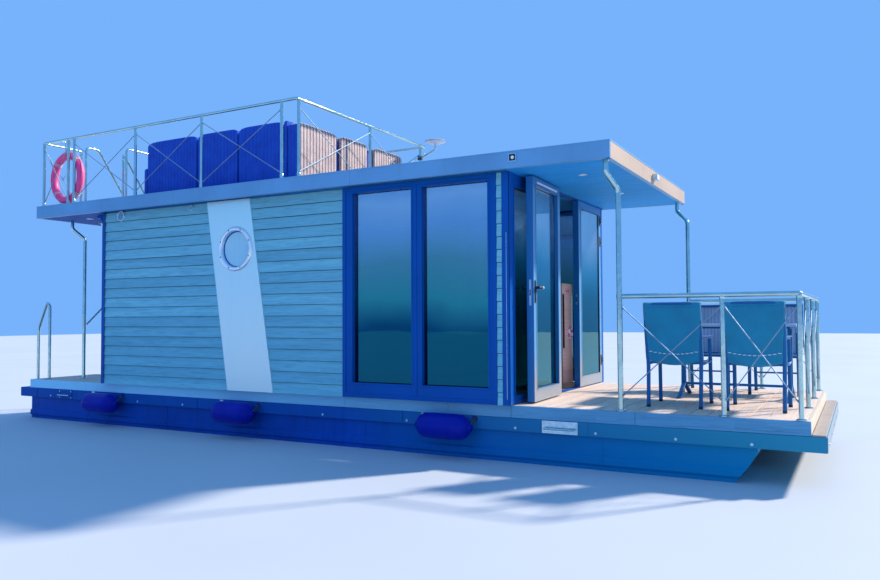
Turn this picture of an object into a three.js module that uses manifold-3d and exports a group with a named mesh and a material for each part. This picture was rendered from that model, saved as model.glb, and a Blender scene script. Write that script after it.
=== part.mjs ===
// A pontoon houseboat: twin hulls, a frame and deck, a clapboard cabin with glazed
// walls and doors, a roof terrace with rails, a roof stair, a bow terrace and an outboard.
// Millimetres, +X to the bow, +Y to port, +Z up, origin under the middle at the hull bottoms.

import * as THREE from 'three';
import { mergeVertices } from 'three/addons/utils/BufferGeometryUtils.js';
import Module from 'manifold-3d';

const wasm = await Module();
wasm.setup();

// Driving dimensions
const GAP = 0.3;
const SIDES = 8;
const FRAME = { bow: 5295, y: 1480, z0: 669, z1: 798, beam: 140 };
const DECK = { stern: -5090, bow: 5180, y: 1470, top: 920 };
const WELL = { x: -4790, y: 390 };
const CABIN = { stern: -3450, bow: 2540, y: 1530, z0: DECK.top, z1: 3220, wall: 90 };
const BOARDS = { count: 18, proud: 14 };
const ROOF = { stern: -4695, bow: 3600, y: 1670, z0: CABIN.z1, z1: 3386 };
const HATCH = { x0: -4490, x1: -3870, y0: -830, y1: 450 };
const HULL = { y0: 575, y1: 1435, ridge: 22, chine: 70 };
const WINDOW = { x0: 545, x1: 2410, depth: 52, y: 1532, glass: 20 };
const PANEL = { bottom: [-1166, -449], top: [-1518, -819], skin: 20 };
const PORTHOLE = { x: -1040, z: 2623, hole: 225, flange: 270, clear: 216 };
const LEAF = { width: 890, thick: 75, z0: 934, z1: 3205, stile: 88, glass: 24 };
const LEAF_OPEN = 177.5;
const DOORWAY = { y0: -360, y1: 1450, z0: 926, z1: 3211 };
const HINGE = { r: 9, out: 25, set: 10, jamb: 4, length: 60, heights: [1190, 2740, 3010], aft: [1120, 1800, 2660] };
const AFT_DOOR = { y0: -1232, width: 740, thick: 45, z0: 934, z1: 2890 };
const RAIL = { z: 1970, r: 22, post: 21, y: 1420, bow: 5110, mid: 4500 };
const POLE = { r: 25, bowX: 3600, portX: 3674, bowY: 1420, sternX: -4460, sternY: 1060 };
const TERRACE = { z: 4300, r: 18, post: 19, stern: -4650, bow: -50, corner: -132, starboard: -1600, port: 1340 };
const LADDER = { x: -5265, y0: -1310, y1: -960, r: 14, foot: 150, rungs: [200, 400, 600] };
const MOTOR = { axis: -4870, swivel: 28, plate: 40, lug0: 480, lug1: 665, cowl: [690, 905], prop: 125, shaft: 170 };
const STAIR = { x0: -4475, x1: -3885, top: -800, foot: 960, thick: 30, depth: 170, steps: 9, rail: 4273, aftRail: 4325 };

const COLOURS = {
  hull: [0x20262c, 0.55, 0.1], frame: [0x2b3038, 0.7, 0.1], deck: [0xb9a489, 0.8, 0],
  cladding: [0x7f9095, 0.8, 0], trim: [0x2c3948, 0.5, 0.1], roof: [0x596777, 0.6, 0.1],
  panel: [0xc8d2d8, 0.3, 0.8], steel: [0xd4d8dc, 0.2, 1], glass: [0x9fc4cf, 0.05, 0],
  ring: [0xe04a32, 0.6, 0], fender: [0x1c2c58, 0.5, 0], rattan: [0x3a3836, 0.8, 0],
  wood: [0x9a6a45, 0.6, 0], dark: [0x23262b, 0.6, 0.1], white: [0xe9ebec, 0.4, 0],
  plate: [0xb8bec4, 0.35, 0.9],
};

// Solid helpers
function toManifold(geometry) {
  const bare = geometry.clone();
  bare.deleteAttribute('normal');
  bare.deleteAttribute('uv');
  const merged = mergeVertices(bare, 1e-3);
  return new wasm.Manifold(new wasm.Mesh({
    numProp: 3,
    vertProperties: new Float32Array(merged.attributes.position.array),
    triVerts: new Uint32Array(merged.index.array),
  }));
}

function toGeometry(manifold) {
  const mesh = manifold.getMesh();
  const geometry = new THREE.BufferGeometry();
  geometry.setAttribute('position', new THREE.BufferAttribute(new Float32Array(mesh.vertProperties), 3));
  geometry.setIndex(new THREE.BufferAttribute(new Uint32Array(mesh.triVerts), 1));
  geometry.computeVertexNormals();
  return geometry;
}

function join(...parts) {
  return toGeometry(parts.flat(Infinity).map(toManifold).reduce((sum, part) => sum.add(part)));
}

function cut(base, ...tools) {
  return toGeometry(tools.flat(Infinity).map(toManifold)
    .reduce((rest, tool) => rest.subtract(tool), toManifold(base)));
}

function common(a, b) {
  return toGeometry(toManifold(a).intersect(toManifold(b)));
}

function mirrored(geometry) {
  const copy = mergeVertices(geometry.clone().deleteAttribute('normal').deleteAttribute('uv'), 1e-3);
  copy.scale(1, -1, 1);
  const order = copy.index.array;
  for (let i = 0; i < order.length; i += 3) [order[i], order[i + 1]] = [order[i + 1], order[i]];
  copy.computeVertexNormals();
  return copy;
}

function block(x0, x1, y0, y1, z0, z1) {
  return new THREE.BoxGeometry(x1 - x0, y1 - y0, z1 - z0)
    .translate((x0 + x1) / 2, (y0 + y1) / 2, (z0 + z1) / 2);
}

function outline(points, holes = []) {
  const shape = new THREE.Shape(points.map(([a, b]) => new THREE.Vector2(a, b)));
  shape.holes = holes.map((hole) => (hole instanceof THREE.Path ? hole
    : new THREE.Path(hole.map(([a, b]) => new THREE.Vector2(a, b)))));
  return shape;
}

const rectangle = (a0, a1, b0, b1) => [[a0, b0], [a1, b0], [a1, b1], [a0, b1]];

function extrude(shape, depth) {
  return new THREE.ExtrudeGeometry(shape, { depth, bevelEnabled: false, curveSegments: 16 });
}

// An (x, y) outline raised from z0 to z1, an (x, z) outline from y0 to y1, a (y, z) one from x0 to x1
const slab = (shape, z0, z1) => extrude(shape, z1 - z0).translate(0, 0, z0);
const standing = (shape, y0, y1) => extrude(shape, y1 - y0).rotateX(Math.PI / 2).translate(0, y1, 0);
const across = (shape, x0, x1) => extrude(shape, x1 - x0)
  .applyMatrix4(new THREE.Matrix4().set(0, 0, 1, x0, 1, 0, 0, 0, 0, 1, 0, 0, 0, 0, 0, 1));

function rod(a, b, r, sides = SIDES) {
  const from = new THREE.Vector3(...a);
  const span = new THREE.Vector3(...b).sub(from);
  const turn = new THREE.Quaternion().setFromUnitVectors(new THREE.Vector3(0, 1, 0), span.clone().normalize());
  return new THREE.CylinderGeometry(r, r, span.length(), sides).applyQuaternion(turn)
    .translate(...from.addScaledVector(span, 0.5).toArray());
}

// A path through listed points with one extrusion step a point
class Route extends THREE.Curve {
  constructor(points) {
    super();
    this.points = points;
  }

  getPoint(t, target = new THREE.Vector3()) {
    const place = t * (this.points.length - 1);
    const i = Math.min(Math.floor(place), this.points.length - 2);
    return target.lerpVectors(this.points[i], this.points[i + 1], place - i);
  }

  getPointAt(u, target) { return this.getPoint(u, target); }

  getTangent(t, target = new THREE.Vector3()) {
    const last = this.points.length - 1;
    const i = Math.round(t * last);
    const before = this.points[Math.max(i - 1, 0)];
    const after = this.points[Math.min(i + 1, last)];
    return target.subVectors(after, before).normalize();
  }

  getTangentAt(u, target) { return this.getTangent(u, target); }
}

// A bent tube: corners of the polyline are rounded to the bend radius
function tube(points, r, bend, sides = SIDES, arcs = 3) {
  const corners = points.map((p) => new THREE.Vector3(...p));
  const path = [corners[0]];
  for (let i = 1; i < corners.length - 1; i += 1) {
    const into = corners[i - 1].clone().sub(corners[i]);
    const out = corners[i + 1].clone().sub(corners[i]);
    const reach = Math.min(bend, into.length() * 0.45, out.length() * 0.45);
    const start = corners[i].clone().addScaledVector(into.normalize(), reach);
    const end = corners[i].clone().addScaledVector(out.normalize(), reach);
    const curve = new THREE.QuadraticBezierCurve3(start, corners[i], end);
    path.push(...curve.getPoints(arcs));
  }
  path.push(corners.at(-1));
  const section = new THREE.Shape(Array.from({ length: sides }, (_, k) => {
    const angle = (k / sides) * Math.PI * 2;
    return new THREE.Vector2(r * Math.cos(angle), r * Math.sin(angle));
  }));
  return new THREE.ExtrudeGeometry(section, { steps: path.length - 1, extrudePath: new Route(path) });
}

const group = new THREE.Group();

function add(name, colour, geometry) {
  const [color, roughness, metalness] = COLOURS[colour];
  const mesh = new THREE.Mesh(geometry, new THREE.MeshStandardMaterial({ color, roughness, metalness }));
  mesh.name = name;
  group.add(mesh);
  return mesh;
}

const both = (stem, colour, geometry) => {
  add(`${stem}_starboard`, colour, geometry);
  add(`${stem}_port`, colour, mirrored(geometry));
};

// Twin hulls: a flat-bottomed section with a rubbing ridge, cut to the raked bow outline
{
  const { y0, y1, ridge, chine } = HULL;
  const top = FRAME.z0 - GAP;
  const section = outline([
    [-y0, top], [-y0, chine + 30], [-y0 - chine, 0], [-y1 + chine, 0], [-y1, chine + 30],
    [-y1, 395], [-y1 - ridge, 415], [-y1 - ridge, 470], [-y1, 490], [-y1, top],
  ].reverse());
  const side = outline([
    [-5100, 700], [-5100, 300], [-4960, 0], [4080, 0], [4400, 150], [4580, 360], [4690, 500], [4770, 640], [4770, 700],
  ]);
  both('hull', 'hull', common(across(section, -5100, 4770), standing(side, -y1 - 100, -y0 + 100)));
}

// Lower frame: edge beams and cross beams as one plate, with bays, the motor well, a recess
// for the swim ladder and the two lugs that the outboard swings between
{
  const { bow, y, z0, z1, beam } = FRAME;
  const bays = [[-4640, -2760], [-2640, -760], [-640, 1240], [1360, 3240], [3360, 5050]]
    .map(([a, b]) => block(a, b, -y + beam, y - beam, z0 - 1, z1 + 1));
  const well = block(-bow - 1, WELL.x, -WELL.y, WELL.y, z0 - 1, z1 + 1);
  const recess = block(-bow - 1, LADDER.x + 30, LADDER.y0 - 30, LADDER.y1 + 30, z0 - 1, z1 + 1);
  const lug = (low, high) => join(
    rod([MOTOR.axis, 0, low], [MOTOR.axis, 0, high], MOTOR.swivel, 12),
    block(MOTOR.axis, WELL.x + 10, -MOTOR.swivel, MOTOR.swivel, low, high),
  );
  const plate = block(WELL.x - MOTOR.plate, WELL.x + 40, -110, 110, MOTOR.lug0, z0 + 11);
  add('deck_frame', 'frame', join(
    cut(block(-bow, bow, -y, y, z0, z1), well, recess, ...bays),
    plate, lug(MOTOR.lug0, MOTOR.lug0 + 25), lug(MOTOR.lug1 - 25, MOTOR.lug1),
  ));
}

add('deck', 'deck', cut(
  block(DECK.stern, DECK.bow, -DECK.y, DECK.y, FRAME.z1, DECK.top),
  block(DECK.stern - 1, WELL.x, -WELL.y, WELL.y, FRAME.z1 - 1, DECK.top + 1),
));

// A (depth, z) clapboard section: outer face at 0, each board leans back to the next
function boardSection(thick) {
  const pitch = (CABIN.z1 - CABIN.z0) / BOARDS.count;
  const points = [];
  for (let i = 0; i < BOARDS.count; i += 1) {
    points.push([0, CABIN.z0 + i * pitch], [BOARDS.proud, CABIN.z0 + (i + 1) * pitch - 6]);
    points.push([BOARDS.proud, CABIN.z0 + (i + 1) * pitch]);
  }
  return [[thick, CABIN.z0], ...points, [thick, CABIN.z1]];
}

// Starboard wall, cut for the flat panel and the porthole, and its mirror image
{
  const section = boardSection(CABIN.wall).map(([d, z]) => [-CABIN.y + d, z]).reverse();
  const wall = across(outline(section), CABIN.stern, WINDOW.x0 - 2);
  const { bottom, top, skin } = PANEL;
  const face = (grow) => outline([
    [bottom[0] - grow, CABIN.z0], [bottom[1] + grow, CABIN.z0], [top[1] + grow, CABIN.z1], [top[0] - grow, CABIN.z1],
  ]);
  const hole = (r) => new THREE.CylinderGeometry(r, r, 400, 32).translate(PORTHOLE.x, -CABIN.y, PORTHOLE.z);
  const back = -CABIN.y + skin;
  both('wall', 'cladding', cut(wall, standing(face(GAP), -CABIN.y - 10, back), hole(PORTHOLE.hole)));
  both('panel', 'panel', cut(standing(face(0), -CABIN.y - 4, back - GAP), hole(PORTHOLE.hole)));
  const pane = -CABIN.y + 30;
  const ring = [
    [0, pane], [PORTHOLE.clear, pane], [PORTHOLE.clear, -CABIN.y - 26],
    [PORTHOLE.flange - 10, -CABIN.y - 26], [PORTHOLE.flange, -CABIN.y - 16],
    [PORTHOLE.flange, -CABIN.y - 4 - GAP], [PORTHOLE.hole - GAP, -CABIN.y - 4 - GAP],
    [PORTHOLE.hole - GAP, -CABIN.y + CABIN.wall], [PORTHOLE.clear, -CABIN.y + CABIN.wall],
    [PORTHOLE.clear, pane + 8], [0, pane + 8],
  ];
  const profile = ring.map(([r, d]) => new THREE.Vector2(r, d));
  both('porthole', 'steel', new THREE.LatheGeometry(profile, 32).translate(PORTHOLE.x, 0, PORTHOLE.z));
}

// Aft wall between the side walls, with the aft doorway; its inner face carries the door's knuckles
const AFT = { axisX: CABIN.stern + CABIN.wall + HINGE.out, axisY: AFT_DOOR.y0 - HINGE.jamb };
const BOW = { axisX: CABIN.bow + HINGE.out, starboard: DOORWAY.y0 - HINGE.jamb, port: DOORWAY.y1 + HINGE.jamb };

// Fixed knuckles stand on a frame's face, below the leaf's own; side is +1 where the leaf runs to port
function fixedKnuckles(x, y, side, heights = HINGE.heights) {
  return heights.map((z) => join(
    rod([x, y, z], [x, y, z + HINGE.length / 2 - GAP], HINGE.r, 12),
    block(x - HINGE.out - 5, x, Math.min(y, y - side * HINGE.r), Math.max(y, y - side * HINGE.r),
      z, z + HINGE.length / 2 - GAP),
  ));
}

{
  const section = boardSection(CABIN.wall).map(([d, z]) => [CABIN.stern + d, z]);
  const inner = CABIN.y - CABIN.wall - GAP;
  const door = block(CABIN.stern - 10, CABIN.stern + CABIN.wall + 10, AFT_DOOR.y0,
    AFT_DOOR.y0 + AFT_DOOR.width + 16, AFT_DOOR.z0 - 6, AFT_DOOR.z1 + 6);
  add('wall_aft', 'cladding', join(
    cut(standing(outline(section), -inner, inner), door),
    fixedKnuckles(AFT.axisX, AFT.axisY, 1, HINGE.aft),
  ));
}

// Glazed bow wall: corner posts, a fixed pane, the double doorway and its knuckles
const FIXED = { y0: -1400, y1: -470, z0: 1000, z1: 3090 };
{
  const x0 = CABIN.bow - CABIN.wall;
  const post = WINDOW.x1 + 2;
  const plate = cut(
    block(x0, CABIN.bow, -CABIN.y, CABIN.y, CABIN.z0, CABIN.z1),
    block(x0 - 1, CABIN.bow + 1, FIXED.y0, FIXED.y1, FIXED.z0, FIXED.z1),
    block(x0 - 1, CABIN.bow + 1, DOORWAY.y0, DOORWAY.y1, DOORWAY.z0, DOORWAY.z1),
  );
  add('bow_frame', 'trim', join(
    plate,
    block(post, x0 + 1, -CABIN.y, FIXED.y0 - 10, CABIN.z0, CABIN.z1),
    block(post, x0 + 1, DOORWAY.y1, CABIN.y, CABIN.z0, CABIN.z1),
    fixedKnuckles(BOW.axisX, BOW.starboard, 1),
    fixedKnuckles(BOW.axisX, BOW.port, -1),
  ));
  add('bow_pane', 'glass', block(CABIN.bow - 44, CABIN.bow - 20, FIXED.y0 + GAP, FIXED.y1 - GAP,
    FIXED.z0 + GAP, FIXED.z1 - GAP));
}

// Side windows: a two-pane frame from deck to roof with one sheet of glass behind it
{
  const { x0, x1, depth, y, glass } = WINDOW;
  const panes = [[668, 1433], [1547, 2320]].map(([a, b]) => block(a, b, -y - 1, -y + depth + 1, 1075, 3160));
  both('window_frame', 'trim', cut(block(x0, x1, -y, -y + depth, CABIN.z0, CABIN.z1), ...panes));
  both('window_glass', 'glass', block(x0 + 40, x1 - 40, -y + depth + GAP, -y + depth + GAP + glass, 1000, 3190));
}

add('roof', 'roof', cut(
  block(ROOF.stern, ROOF.bow, -ROOF.y, ROOF.y, ROOF.z0, ROOF.z1),
  block(HATCH.x0, HATCH.x1, HATCH.y0, HATCH.y1, ROOF.z0 - 1, ROOF.z1 + 1),
));

// A door leaf in its own frame: hinge axis at the origin, running to +Y, outer face at -HINGE.set.
// It returns the framed leaf and, where it is glazed, the glass.
function leaf({ width, thick, z0, z1, rail, stile, glazed, handles, heights = HINGE.heights }) {
  const outer = -HINGE.set;
  const inner = outer - thick;
  const y0 = HINGE.set;
  const y1 = y0 + width;
  const knuckles = heights.map((z) => join(
    rod([0, 0, z + HINGE.length / 2], [0, 0, z + HINGE.length], HINGE.r, 12),
    block(outer - 4, 0, 0, y0 + 4, z + HINGE.length / 2, z + HINGE.length),
  ));
  const levers = handles.map((face) => {
    const at = face > 0 ? outer : inner;
    const y = y1 - stile / 2;
    const out = (a, b) => [Math.min(at + face * a, at + face * b), Math.max(at + face * a, at + face * b)];
    return join(
      block(...out(-1, 8), y - 16, y + 16, 1930, 2150),
      block(...out(7, 46), y - 9, y + 9, 2071, 2089),
      block(...out(34, 46), y - 125, y + 9, 2071, 2089),
    );
  });
  const hole = [y0 + stile, y1 - stile, z0 + rail, z1 - stile];
  const body = block(inner, outer, y0, y1, z0, z1);
  const framed = glazed ? cut(body, block(inner - 1, outer + 1, ...hole)) : body;
  const pane = glazed ? block(outer - 8 - LEAF.glass, outer - 8, hole[0] + GAP, hole[1] - GAP,
    hole[2] + GAP, hole[3] - GAP) : null;
  return [join(framed, knuckles, levers), pane];
}

// Turn a leaf about its axis and set the axis in place
const hang = (geometry, x, y, degrees) => geometry.clone().rotateZ(THREE.MathUtils.degToRad(degrees)).translate(x, y, 0);

{
  const form = { width: LEAF.width, thick: LEAF.thick, z0: LEAF.z0, z1: LEAF.z1, rail: 125, stile: LEAF.stile };
  const [active, activeGlass] = leaf({ ...form, glazed: true, handles: [1, -1] });
  const [passive, passiveGlass] = leaf({ ...form, glazed: true, handles: [] });
  add('bow_door_starboard', 'trim', hang(active, BOW.axisX, BOW.starboard, -LEAF_OPEN));
  add('bow_door_starboard_glass', 'glass', hang(activeGlass, BOW.axisX, BOW.starboard, -LEAF_OPEN));
  add('bow_door_port', 'trim', hang(mirrored(passive), BOW.axisX, BOW.port, 0));
  add('bow_door_port_glass', 'glass', hang(mirrored(passiveGlass), BOW.axisX, BOW.port, 0));
  const [aft] = leaf({
    width: AFT_DOOR.width, thick: AFT_DOOR.thick, z0: AFT_DOOR.z0, z1: AFT_DOOR.z1, rail: 0, stile: 100,
    glazed: false, handles: [1, -1], heights: HINGE.aft,
  });
  add('aft_door', 'trim', hang(aft, AFT.axisX, AFT.axisY, 0));
}

// Stainless poles that carry the roof's ends, each with an offset bend below the roof
{
  const pole = (x, y, lean, side) => join(
    tube([
      [x, y, DECK.top + 4], [x, y, 2960], [x - lean, y + side * 130, 3110], [x - lean, y + side * 130, ROOF.z0 - GAP],
    ], POLE.r, 60),
    rod([x, y, DECK.top], [x, y, DECK.top + 8], 50, 12),
  );
  add('pole_bow_starboard', 'steel', pole(POLE.bowX, -POLE.bowY, 75, -1));
  add('pole_bow_port', 'steel', pole(POLE.portX, POLE.bowY, 149, 1));
  add('pole_stern_starboard', 'steel', pole(POLE.sternX, -POLE.sternY, 110, -1));
  add('pole_stern_port', 'steel', pole(POLE.sternX, POLE.sternY + 200, 110, 1));
}

const post = (x, y, z0, z1, r) => join(rod([x, y, z0], [x, y, z1], r), rod([x, y, z0], [x, y, z0 + 8], r + 22));

// Bow terrace rail: two sides from the poles to the corners, and the front
{
  const { z, r, y, bow, mid } = RAIL;
  const corner = bow - 40;
  for (const [side, at, x] of [['starboard', -y, POLE.bowX], ['port', y, POLE.portX]]) {
    add(`bow_rail_${side}`, 'steel', join(
      rod([x + POLE.r + GAP, at, z], [corner - GAP, at, z], r),
      post(mid, at, DECK.top, z, RAIL.post),
    ));
  }
  add('bow_rail_front', 'steel', join(
    tube([[corner, -y, z], [bow, -y, z], [bow, y, z], [corner, y, z]], r, 38),
    [-y + 3, -473, 473, y - 3].map((at) => post(bow - 3, at, DECK.top, z, RAIL.post)),
  ));
}

// Roof terrace rails
{
  const { z, r, stern, bow, starboard, port } = TERRACE;
  const up = (x, y) => post(x, y, ROOF.z1, z, TERRACE.post);
  add('terrace_rail_starboard', 'steel', join(
    tube([[stern, -1000, ROOF.z1], [stern, -1000, z], [stern, starboard, z], [bow - 60, starboard, z]], r, 50),
    [stern + 6, -4100, -3976, -2738, -1546, -272].map((x) => up(x, starboard + (x < -4600 ? 6 : 0))),
  ));
  add('terrace_rail_port', 'steel', join(
    tube([[stern, 520, ROOF.z1], [stern, 520, z], [stern, port, z], [bow - 60, port, z]], r, 50),
    [stern + 6, -3976, -2738, -1546, TERRACE.corner].map((x) => up(x, port - (x < -4600 ? 6 : 0))),
  ));
  add('terrace_rail_bow', 'steel', join(
    tube([[bow - 60 + GAP, starboard, z], [bow, starboard, z], [bow, port, z], [bow - 60 + GAP, port, z]], r, 50),
    [starboard + 35, -109].map((y) => up(bow, y)),
  ));
}

// Roof stair: two stringers, treads and a strut to the pole; its handrails and the hatch guard stand by it
{
  const { x0, x1, top, foot, thick, depth, steps, rail, aftRail } = STAIR;
  const rise = ROOF.z1 - DECK.top;
  const slope = rise / (foot - top);
  const half = (depth / 2) * Math.hypot(1, slope) / slope;
  const edge = HATCH.y0 + GAP;
  const stringer = outline([
    [foot - half, DECK.top], [foot + half, DECK.top], [foot + half - rise / slope, ROOF.z1], [edge, ROOF.z1],
    [edge, DECK.top + (foot - half - edge) * slope],
  ]);
  const treads = Array.from({ length: steps }, (_, i) => {
    const z = DECK.top + ((i + 1) * rise) / (steps + 1);
    const y = foot - (z - DECK.top) / slope;
    return block(x0 + thick - 2, x1 - thick + 2, y - 100, y + 100, z - 30, z);
  });
  const lowY = foot - 80;
  const slant = (y, z) => z - (lowY - y) * slope;
  const stepTop = (y) => DECK.top + (foot + half + 17 - y) * slope + 1;
  const aftX = x0 + 15;
  const bowX = x1 - 15;
  add('stair_rail_aft', 'steel', tube([
    [aftX, -1060, ROOF.z1 + GAP], [aftX, -1060, aftRail], [aftX, -850, aftRail], [aftX, lowY, slant(-850, aftRail)],
    [aftX, lowY, stepTop(lowY)],
  ], 17, 60));
  add('stair_rail_bow', 'steel', tube([
    [bowX, -855, ROOF.z1 + GAP], [bowX, -855, rail - 60], [bowX, lowY, slant(-855, rail - 60)],
    [bowX, lowY, stepTop(lowY)],
  ], 17, 60));
  const guardX = HATCH.x1 + 35;
  add('hatch_guard', 'steel', tube([
    [guardX, -855, ROOF.z1 + GAP], [guardX, -855, rail], [guardX, 480, rail], [guardX, 480, ROOF.z1 + GAP],
  ], 17, 60));
  const poleEdge = -POLE.sternY + POLE.r + 1;
  const strut = rod([aftX, poleEdge + 10, 1705], [aftX, -200, 1705 + (-212 - poleEdge) * 0.93], 15);
  add('roof_stair', 'steel', join(
    across(stringer, x0, x0 + thick), across(stringer, x1 - thick, x1), treads, strut,
  ));
}

// Life ring against the terrace rail's posts
add('life_ring', 'ring', new THREE.TorusGeometry(315, 55, 8, 24).rotateX(Math.PI / 2)
  .translate(-4235, TERRACE.starboard + TERRACE.post + 55 + GAP, 3779));

// Boarding handrail on the aft deck, one piece with the swim ladder's hooks
{
  const { x, y0, y1, r, foot, rungs } = LADDER;
  const lie = FRAME.z1 + r + GAP;
  const hoop = tube([
    [-5150, y0, FRAME.z1 + GAP], [-5150, y0, 1650], [-4950, y0, 2037], [-4890, y0, 1977], [-4890, y0, DECK.top + GAP],
  ], 21, 60);
  const stile = (y) => tube([[-5140, y, lie], [x, y, lie], [x, y, foot]], r, 25);
  add('swim_ladder', 'steel', join(
    hoop, stile(y0), stile(y1), rod([-5150, y0, lie], [-5150, y1 + r, lie], r),
    rungs.map((z) => rod([x, y0, z], [x, y1, z], 12)),
  ));
}

// Fenders lie along the frame's edge
{
  const radius = 130;
  const length = 640;
  const profile = [
    [0, -length / 2], [58, -length / 2 + 6], [104, -length / 2 + 32], [radius, -length / 2 + 85],
    [radius, length / 2 - 85], [104, length / 2 - 32], [58, length / 2 - 6], [0, length / 2],
  ].map(([a, b]) => new THREE.Vector2(a, b));
  const places = [['aft', -3370, 671], ['mid', -1000, 671], ['bow', 1840, 692]];
  for (const [place, x, z] of places) {
    const fender = new THREE.LatheGeometry(profile, 12).rotateZ(-Math.PI / 2)
      .translate(x, -FRAME.y - radius - GAP, z);
    both(`fender_${place}`, 'fender', fender);
  }
}

// Roof lounge: a starboard run and a bow run of high-backed seats
{
  const seat = ROOF.z1 + 410;
  const back = ROOF.z1 + 760;
  const section = outline([
    [-1350, ROOF.z1], [-560, ROOF.z1], [-560, seat], [-1170, seat], [-1190, back - 30], [-1220, back],
    [-1320, back], [-1350, back - 30],
  ]);
  const arm = block(-2880, -2819, -1350, -560, ROOF.z1, seat + 20);
  add('lounge_starboard', 'rattan', join(across(section, -2820, -1045), arm));
  const turned = outline([
    [-1040, ROOF.z1], [-240, ROOF.z1], [-240, back - 30], [-270, back], [-370, back], [-400, back - 30],
    [-420, seat], [-1040, seat],
  ]);
  const corner = outline([
    [-1350, ROOF.z1], [-1170, ROOF.z1], [-1170, seat], [-1190, back - 30], [-1220, back],
    [-1320, back], [-1350, back - 30],
  ]);
  add('lounge_bow', 'rattan', join(standing(turned, -1350, 1000), across(corner, -1040, -240)));
}

// Bow terrace table and four armchairs
{
  const top = 1700;
  const [x0, x1, y0, y1] = [3760, 5000, -230, 630];
  const middle = (y0 + y1) / 2;
  const foot = outline([
    [middle - 330, DECK.top], [middle - 285, DECK.top], [middle, 1035], [middle + 285, DECK.top],
    [middle + 330, DECK.top], [middle + 18, 1075], [middle - 18, 1075],
  ]);
  const trestles = [x0 + 90, x1 - 90].map((x) => join(
    across(foot, x - 20, x + 20), block(x - 20, x + 20, middle - 20, middle + 20, 1050, top - 31),
  ));
  add('table', 'dark', join(
    block(x0, x1, y0, y1, top - 30, top),
    block(x0 + 40, x1 - 40, y0 + 40, y1 - 40, top - 70, top - 29),
    block(x0 + 90, x1 - 90, middle - 15, middle + 15, 1045, 1072), trestles,
  ));
  const chair = (x) => {
    const [a, b] = [x - 260, x + 260];
    const seat = 1350;
    const leg = (from) => join(
      across(outline([[-1005, DECK.top], [-970, DECK.top], [-935, seat], [-970, seat]]), from, from + 30),
      across(outline([[-970, seat], [-935, seat], [-1025, 1895], [-1060, 1895]]), from, from + 30),
      across(outline([[-470, DECK.top], [-435, DECK.top], [-455, 1585], [-490, 1585]]), from, from + 30),
      block(from, from + 30, -1000, -440, 1570, 1595),
    );
    return join(
      leg(a), leg(b - 30),
      block(a + 29, b - 29, -985, -455, seat - 25, seat),
      across(outline([[-965, seat - 10], [-945, seat - 10], [-1035, 1905], [-1055, 1905]]), a + 29, b - 29),
    );
  };
  for (const [place, x] of [['aft', 3990], ['bow', 4705]]) {
    add(`chair_${place}_starboard`, 'dark', chair(x));
    add(`chair_${place}_port`, 'dark', mirrored(chair(x)).translate(0, 200, 0));
  }
}

// Round television antenna on an arm from the terrace rail's port corner post
{
  const x = TERRACE.corner + 260;
  const y = TERRACE.port;
  const disc = new THREE.LatheGeometry([
    [0, -26], [60, -22], [128, -4], [155, 8], [150, 18], [110, 32], [50, 40], [0, 42],
  ].map(([a, b]) => new THREE.Vector2(a, b)), 20).rotateX(Math.PI / 2).translate(x, y, 4352);
  const arm = tube([[x, y, 4340], [x, y, 4250], [TERRACE.corner + TERRACE.post + 6, y, 4150]], 14, 40);
  add('antenna', 'white', join(disc, arm));
}

// Helm console, its wheel, and the fitted interior that shows through the glass
{
  const inner = CABIN.y - CABIN.wall - 2;
  const desk = outline([
    [1740, CABIN.z0], [2160, CABIN.z0], [2160, 2220], [2090, 2220], [1800, 1960], [1740, 1960],
  ]);
  add('helm_console', 'wood', standing(desk, 1040, inner));
  const hub = [1690, 1235, 1800];
  const rim = new THREE.TorusGeometry(128, 12, 8, 20).rotateY(Math.PI / 2).translate(...hub);
  const spokes = [90, 210, 330].map((deg) => {
    const angle = THREE.MathUtils.degToRad(deg);
    return rod(hub, [hub[0], hub[1] + 124 * Math.cos(angle), hub[2] + 124 * Math.sin(angle)], 8);
  });
  add('steering_wheel', 'dark', join(
    rim, spokes, rod([hub[0] - 14, hub[1], hub[2]], [1740 - GAP, hub[1], hub[2]], 26, 12),
  ));
  add('interior', 'wood', join(
    cut(block(-1400, -1340, -inner, inner, CABIN.z0, CABIN.z1 - 2), block(-1401, -1339, -380, 380, CABIN.z0 - 1, 2950)),
    block(-1341, 300, 850, inner, CABIN.z0, 1830),
    block(-1341, -700, -inner, -800, CABIN.z0, 1500),
  ));
}

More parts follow.
